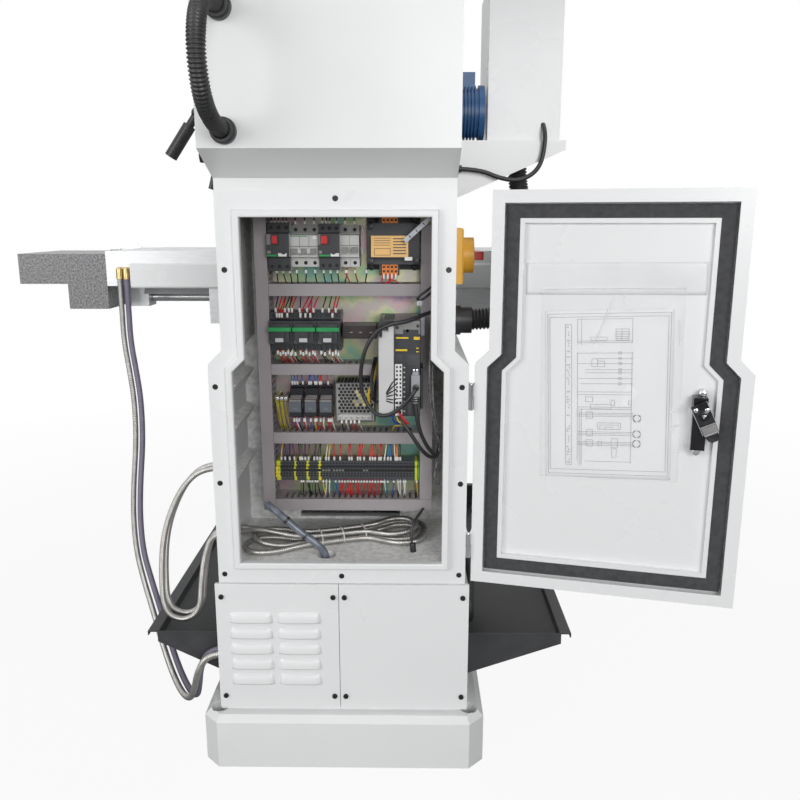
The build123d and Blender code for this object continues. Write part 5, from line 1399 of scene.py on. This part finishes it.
for row in range(4):
    bpy.ops.mesh.duplicate_move(TRANSFORM_OT_translate={"value": (0, 0, louvre_step / 1000)})
bpy.ops.mesh.select_all(action="SELECT")
bpy.ops.mesh.duplicate_move(TRANSFORM_OT_translate={"value": (column_step / 1000, 0, 0)})
bpy.ops.object.mode_set(mode="OBJECT")
fitted(louvres, sheet_enamel, "column")
for face in louvres.data.polygons:
    face.use_smooth = abs(face.normal.z + 1) > 0.2
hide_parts("louvre_cover")
# Each louvre's slit is a thin near-black strip under its lip: painted shade for the opening.
slits = [
    ((x - 37, x + 37), (cover_out - 0.2, cover_out + 0.5), (z - 1.5, z + 0.4))
    for x in (louvre_x, louvre_x + column_step)
    for z in (louvre_z + louvre_step * row for row in range(5))
]
blocks("louvre_slits", slits, 0.1, hole_shade_look, "black_plastic")


# Cords: corrugated metal conduit, ribbed black rubber hose, a smooth violet hose and a thin black
# cable. Each follows one smooth line through the same places as its plain solid.
def laid(name, route):
    """A smooth open line whose control points are the cord's route."""
    curve = bpy.data.curves.new(name, "CURVE")
    curve.dimensions = "3D"
    spline = curve.splines.new("NURBS")
    spline.points.add(len(route) - 1)
    for point, place in zip(spline.points, route):
        point.co = (*place, 1)
    spline.order_u = 3
    spline.use_endpoint_u = True
    curve.resolution_u = 16
    return bpy.data.objects.new(name, curve)


def followed(route):
    """The points of the smooth line through a route, read from the line itself."""
    line = laid("line", route)
    mesh = bpy.data.meshes.new_from_object(line)
    points = [vertex.co.copy() for vertex in mesh.vertices]
    bpy.data.objects.remove(line)
    bpy.data.meshes.remove(mesh)
    return points


def ribbed(name, route, diameter, pitch, dip, material, sides=12, profile=(1, 1, 0, 0)):
    """A mesh tube along a route whose radius steps between rib and groove."""
    points = followed(route)
    gone = [0.0]
    for a, b in zip(points, points[1:]):
        gone.append(gone[-1] + (b - a).length)
    count = int(gone[-1] / pitch) * len(profile)
    form = bmesh.new()
    side = None
    rings = []
    spot = 0
    for number in range(count + 1):
        s = gone[-1] * number / count
        while spot < len(points) - 2 and gone[spot + 1] < s:
            spot += 1
        a, b = points[spot], points[spot + 1]
        share = (s - gone[spot]) / max(gone[spot + 1] - gone[spot], 1e-9)
        ahead = (points[min(spot + 2, len(points) - 1)] - a).normalized()
        behind = (b - points[max(spot - 1, 0)]).normalized()
        way = behind.lerp(ahead, share).normalized()
        if side is None:
            side = way.orthogonal().normalized()
        side = (side - way * side.dot(way)).normalized()
        other = way.cross(side)
        radius = diameter / 2 - dip * (1 - profile[number % len(profile)])
        centre = a.lerp(b, share)
        rings.append([
            form.verts.new(centre + radius * (math.cos(t) * side + math.sin(t) * other))
            for t in (2 * math.pi * k / sides for k in range(sides))
        ])
    for low, high in zip(rings, rings[1:]):
        for k in range(sides):
            form.faces.new((low[k], low[(k + 1) % sides], high[(k + 1) % sides], high[k]))
    form.faces.new(rings[0][::-1])
    form.faces.new(rings[-1])
    mesh = bpy.data.meshes.new(name)
    form.to_mesh(mesh)
    form.free()
    for face in mesh.polygons:
        face.use_smooth = True
    piece = link(name, mesh, material, None)
    return piece, points, gone[-1]


table_route = [
    (0.5915, -0.290, 0.935), (0.5915, -0.290, 0.850), (0.589, -0.280, 0.771), (0.575, -0.265, 0.697),
    (0.562, -0.248, 0.622),
    (0.557, -0.225, 0.522), (0.562, -0.200, 0.423), (0.561, -0.175, 0.338), (0.547, -0.140, 0.259),
    (0.520, -0.105, 0.196),
    (0.487, -0.060, 0.140), (0.450, 0.000, 0.090), (0.410, 0.065, 0.052), (0.368, 0.135, 0.042),
    (0.333, 0.195, 0.066),
    (0.312, 0.238, 0.118), (0.297, 0.262, 0.180), (0.270, 0.272, 0.222), (0.230, 0.272, 0.222),
]
hose_shift = [(-0.0085, 0, 0)] * 9 + [(-0.008, -0.004, 0)] * 5
hose_shift += [(-0.006, -0.006, 0), (-0.003, -0.006, 0), (0, -0.008, 0)] + [(0, -0.010, 0)] * 2
conduit_shift = [(0.0085, 0, 0)] * 9 + [(0.008, 0.004, 0)] * 5
conduit_shift += [(0.006, 0.006, 0), (0.003, 0.008, 0)] + [(0, 0.010, 0)] * 3
violet = finish("violet_hose_look", (0.17, 0.15, 0.21), 0.42, mottle=0.08, patch=30, grain=0.1, pores=500)
conduit_look = finish(
    "conduit_steel", (0.46, 0.45, 0.43), 0.34, metal=0.9, mottle=0.1, patch=60, grain=0.1, pores=600
)
hose_look = finish("ribbed_black_hose", (0.02, 0.02, 0.022), 0.42, mottle=0.12, patch=40, grain=0.08, pores=500)
for name, shifts, material, slot, dip in (
    ("table_hose", hose_shift, violet, "violet_hose", 0.0003),
    ("table_conduit", conduit_shift, conduit_look, "metal_conduit", 0.0009),
):
    route = [tuple(a + b for a, b in zip(place, shift)) for place, shift in zip(table_route, shifts)]
    piece, points, length = ribbed(name + "_run", route, 0.014, 0.0042, dip, material)
    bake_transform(piece)
    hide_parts(name)

side_route = [
    (0.238, 0.584), (0.284, 0.584), (0.326, 0.548), (0.356, 0.492), (0.376, 0.429), (0.384, 0.350),
    (0.384, 0.268),
    (0.346, 0.246), (0.308, 0.268), (0.302, 0.335), (0.292, 0.395), (0.272, 0.446), (0.222, 0.446),
]
routes = {
    "side_conduit_1": (
        [(x, 0.168, z) for x, z in side_route], 0.012, 0.0038, 0.0008, conduit_look, "metal_conduit", "hanging"
    ),
    "side_conduit_2": (
        [(x, 0.196, z) for x, z in side_route], 0.012, 0.0038, 0.0008, conduit_look, "metal_conduit", "hanging"
    ),
    "control_hose": (
        [
            (-0.212, 0.150, 0.877), (-0.330, 0.150, 0.877), (-0.402, 0.105, 0.925), (-0.420, 0.020, 0.990),
            (-0.400, -0.060, 1.055), (-0.367, -0.120, 1.130), (-0.367, -0.120, 1.228),
        ],
        0.042, 0.007, 0.0028, hose_look, "black_hose", "hanging",
    ),
    "side_hose": (
        [
            (-0.259, 0.020, 0.347), (-0.259, 0.139, 0.347), (-0.259, 0.179, 0.279), (-0.259, 0.139, 0.211),
            (-0.259, 0.020, 0.211),
        ],
        0.020, 0.0045, 0.0016, hose_look, "black_hose", "hanging",
    ),
    "rear_conduit": (
        [
            (0.166, 0.400, 1.207), (0.166, 0.510, 1.207), (0.166, 0.563, 1.298), (0.166, 0.510, 1.390),
            (0.166, 0.400, 1.390),
        ],
        0.028, 0.0055, 0.002, hose_look, "black_hose", "hanging",
    ),
    "conduit_hank": (
        [
            (0.219, 0.168, 0.446), (0.190, 0.163, 0.441), (0.150, 0.158, 0.434), (0.105, 0.179, 0.4315),
            (0.0612, 0.1781, 0.4315),
            (-0.0288, 0.1471, 0.4315), (-0.075, 0.112, 0.4315), (-0.108, 0.090, 0.4315),
            (-0.160, 0.098, 0.4315), (-0.166, 0.158, 0.4315),
            (-0.150, 0.206, 0.4315), (-0.104, 0.214, 0.4315), (-0.068, 0.196, 0.4315),
            (-0.0412, 0.1829, 0.4315), (0.0488, 0.2139, 0.4315),
            (0.090, 0.230, 0.4315), (0.130, 0.262, 0.4315), (0.182, 0.268, 0.4315), (0.204, 0.228, 0.4315),
            (0.182, 0.190, 0.4315),
            (0.140, 0.186, 0.4315), (0.100, 0.199, 0.4315), (0.0571, 0.190, 0.4315), (-0.0329, 0.159, 0.4315),
            (-0.070, 0.141, 0.4315),
            (-0.100, 0.112, 0.4315), (-0.142, 0.116, 0.4315), (-0.150, 0.156, 0.4315), (-0.134, 0.192, 0.4315),
            (-0.098, 0.196, 0.4315),
            (-0.064, 0.181, 0.4315), (-0.0371, 0.171, 0.4315), (0.0529, 0.202, 0.4315), (0.090, 0.216, 0.4315),
            (0.125, 0.240, 0.434),
            (0.165, 0.246, 0.444), (0.186, 0.214, 0.444), (0.178, 0.176, 0.444), (0.140, 0.170, 0.444),
            (0.100, 0.184, 0.4435),
            (0.0591, 0.1841, 0.443), (-0.0309, 0.1531, 0.443), (-0.062, 0.140, 0.444), (-0.086, 0.112, 0.444),
            (-0.124, 0.104, 0.444),
            (-0.146, 0.136, 0.444), (-0.136, 0.178, 0.444), (-0.098, 0.200, 0.444), (-0.066, 0.190, 0.444),
            (-0.0391, 0.1769, 0.443),
            (0.0509, 0.2079, 0.443), (0.095, 0.222, 0.448), (0.135, 0.224, 0.457), (0.175, 0.212, 0.459),
            (0.200, 0.202, 0.452), (0.219, 0.196, 0.446),
        ],
        0.012, 0.0038, 0.0008, conduit_look, "metal_conduit", "coiled",
    ),
}
for name, (route, diameter, pitch, dip, material, slot, lay) in routes.items():
    piece, points, length = ribbed(
        name + "_run", route, diameter, pitch, dip, material, sides=20 if diameter > 0.03 else 12
    )
    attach(piece, "column")
    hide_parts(name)

# Ties of the hank: three white plastic straps round the coiled conduit on the cabinet's floor,
# each a closed loop across the bundle.
tie_ring = [
    (-26, 430), (-26, 440), (-15, 451.5), (15, 451.5), (26, 440), (26, 430), (19, 425.4), (-19, 425.4),
    (-26, 430),
]
bundle_x, bundle_y = -0.326, 0.946
tie_loops = [
    [(x + bundle_x * out, y + bundle_y * out, z) for out, z in tie_ring] for x, y in (
        (52, 195), (10, 180), (-34, 165)
    )
]
strands("hank_ties", tie_loops, 2.6, plastic_white, sides=2, fine=6)

# Control box's cable: a thin black lead from the column's gland to the box, drawn as a round curve.
cable_route = [
    (-0.212, 0.020, 1.173), (-0.270, 0.020, 1.173), (-0.318, 0.019, 1.153), (-0.360, 0.018, 1.149),
    (-0.396, 0.017, 1.172), (-0.406, 0.016, 1.215), (-0.406, 0.014, 1.250), (-0.405, -0.010, 1.262),
]
cable_points = followed(cable_route)
cable = laid("panel_cable_run", cable_route)
bpy.context.scene.collection.objects.link(cable)
cable.data.bevel_depth = 0.0045
cable.data.bevel_resolution = 4
cable.data.use_fill_caps = True
cable.data.materials.append(cable_black)
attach(cable, "column")
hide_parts("panel_cable")

# Studio floor: white in the picture, darker in what the machine reflects and in the light it
# bounces, so the castings keep their shading.
bpy.ops.mesh.primitive_plane_add(size=160, location=(0, 0, 0))
floor = bpy.context.object
floor.name = "studio_floor"
ground = bpy.data.materials.new("studio_white")
ground.use_nodes = True
tree = ground.node_tree
shader = tree.nodes["Principled BSDF"]
shader.inputs["Base Color"].default_value = (0.35, 0.35, 0.35, 1)
shader.inputs["Roughness"].default_value = 0.9
glow = wired(tree, "Emission", {"Strength": 1.0})
rays = wired(tree, "LightPath")
spot = wired(tree, "NewGeometry")
distance = wired(tree, "VectorMath", {0: spot.outputs["Position"]}, operation="LENGTH")
reach = {"From Min": 1.2, "From Max": 3.4, "To Min": 0.93, "To Max": 1.0}
fade = wired(tree, "MapRange", {"Value": distance.outputs["Value"], **reach})
seen = {0: rays.outputs["Is Camera Ray"], 1: fade.outputs["Result"]}
share = wired(tree, "Math", seen, operation="MULTIPLY")
merge = wired(tree, "MixShader", {0: share.outputs[0], 1: shader.outputs[0], 2: glow.outputs[0]})
tree.links.new(merge.outputs[0], tree.nodes["Material Output"].inputs["Surface"])
floor.data.materials.append(ground)

# Surroundings: white to the camera, in mirrors and through clear parts, dim as a source of light.
world = bpy.data.worlds.new("studio")
bpy.context.scene.world = world
world.use_nodes = True
tree = world.node_tree
sky = tree.nodes["Background"]
sky.inputs["Color"].default_value = (1, 1, 1, 1)
rays = wired(tree, "LightPath")
mirrored = {0: rays.outputs["Is Camera Ray"], 1: rays.outputs["Is Glossy Ray"]}
seen = wired(tree, "Math", mirrored, operation="MAXIMUM")
passed = {0: seen.outputs[0], 1: rays.outputs["Is Transmission Ray"]}
seen_too = wired(tree, "Math", passed, operation="MAXIMUM")
strength = wired(tree, "MapRange", {"Value": seen_too.outputs[0], "To Min": 0.3, "To Max": 1.0})
tree.links.new(strength.outputs["Result"], sky.inputs["Strength"])


# Lamps: a key lamp and a fill lamp in front of the cabinet and a weak one above, all soft squares.
def lamp(name, place, aim, size, power):
    """A square soft lamp at a place, turned to the point that it is aimed at."""
    data = bpy.data.lights.new(name, "AREA")
    data.shape = "SQUARE"
    data.size = size
    data.energy = power
    light_object = bpy.data.objects.new(name, data)
    light_object.location = place
    light_object.rotation_euler = (Vector(aim) - Vector(place)).to_track_quat("-Z", "Y").to_euler()
    bpy.context.scene.collection.objects.link(light_object)


lamp("key_lamp", (-0.95, 3.4, 1.6), (0, 0.1, 0.8), 1.3, 49)
lamp("fill_lamp", (2.4, 2.6, 1.5), (0.2, 0, 0.8), 2.0, 46)
lamp("top_lamp", (0.2, 0.4, 4.0), (0, 0, 1), 2.6, 18)

# Camera of the photograph, in front of the open cabinet and looking slightly down.
data = bpy.data.cameras.new("photo_camera")
data.sensor_width = 36
data.lens = 35.84
camera = bpy.data.objects.new("photo_camera", data)
camera.location = (-0.1298, 1.725, 1.065)
pitch, yaw = math.radians(12.56), math.radians(0.69)
ahead = Vector((math.sin(yaw) * math.cos(pitch), -math.cos(yaw) * math.cos(pitch), -math.sin(pitch)))
camera.rotation_euler = ahead.to_track_quat("-Z", "Y").to_euler()
bpy.context.scene.collection.objects.link(camera)
bpy.context.scene.camera = camera
bpy.context.scene.view_settings.view_transform = "Standard"
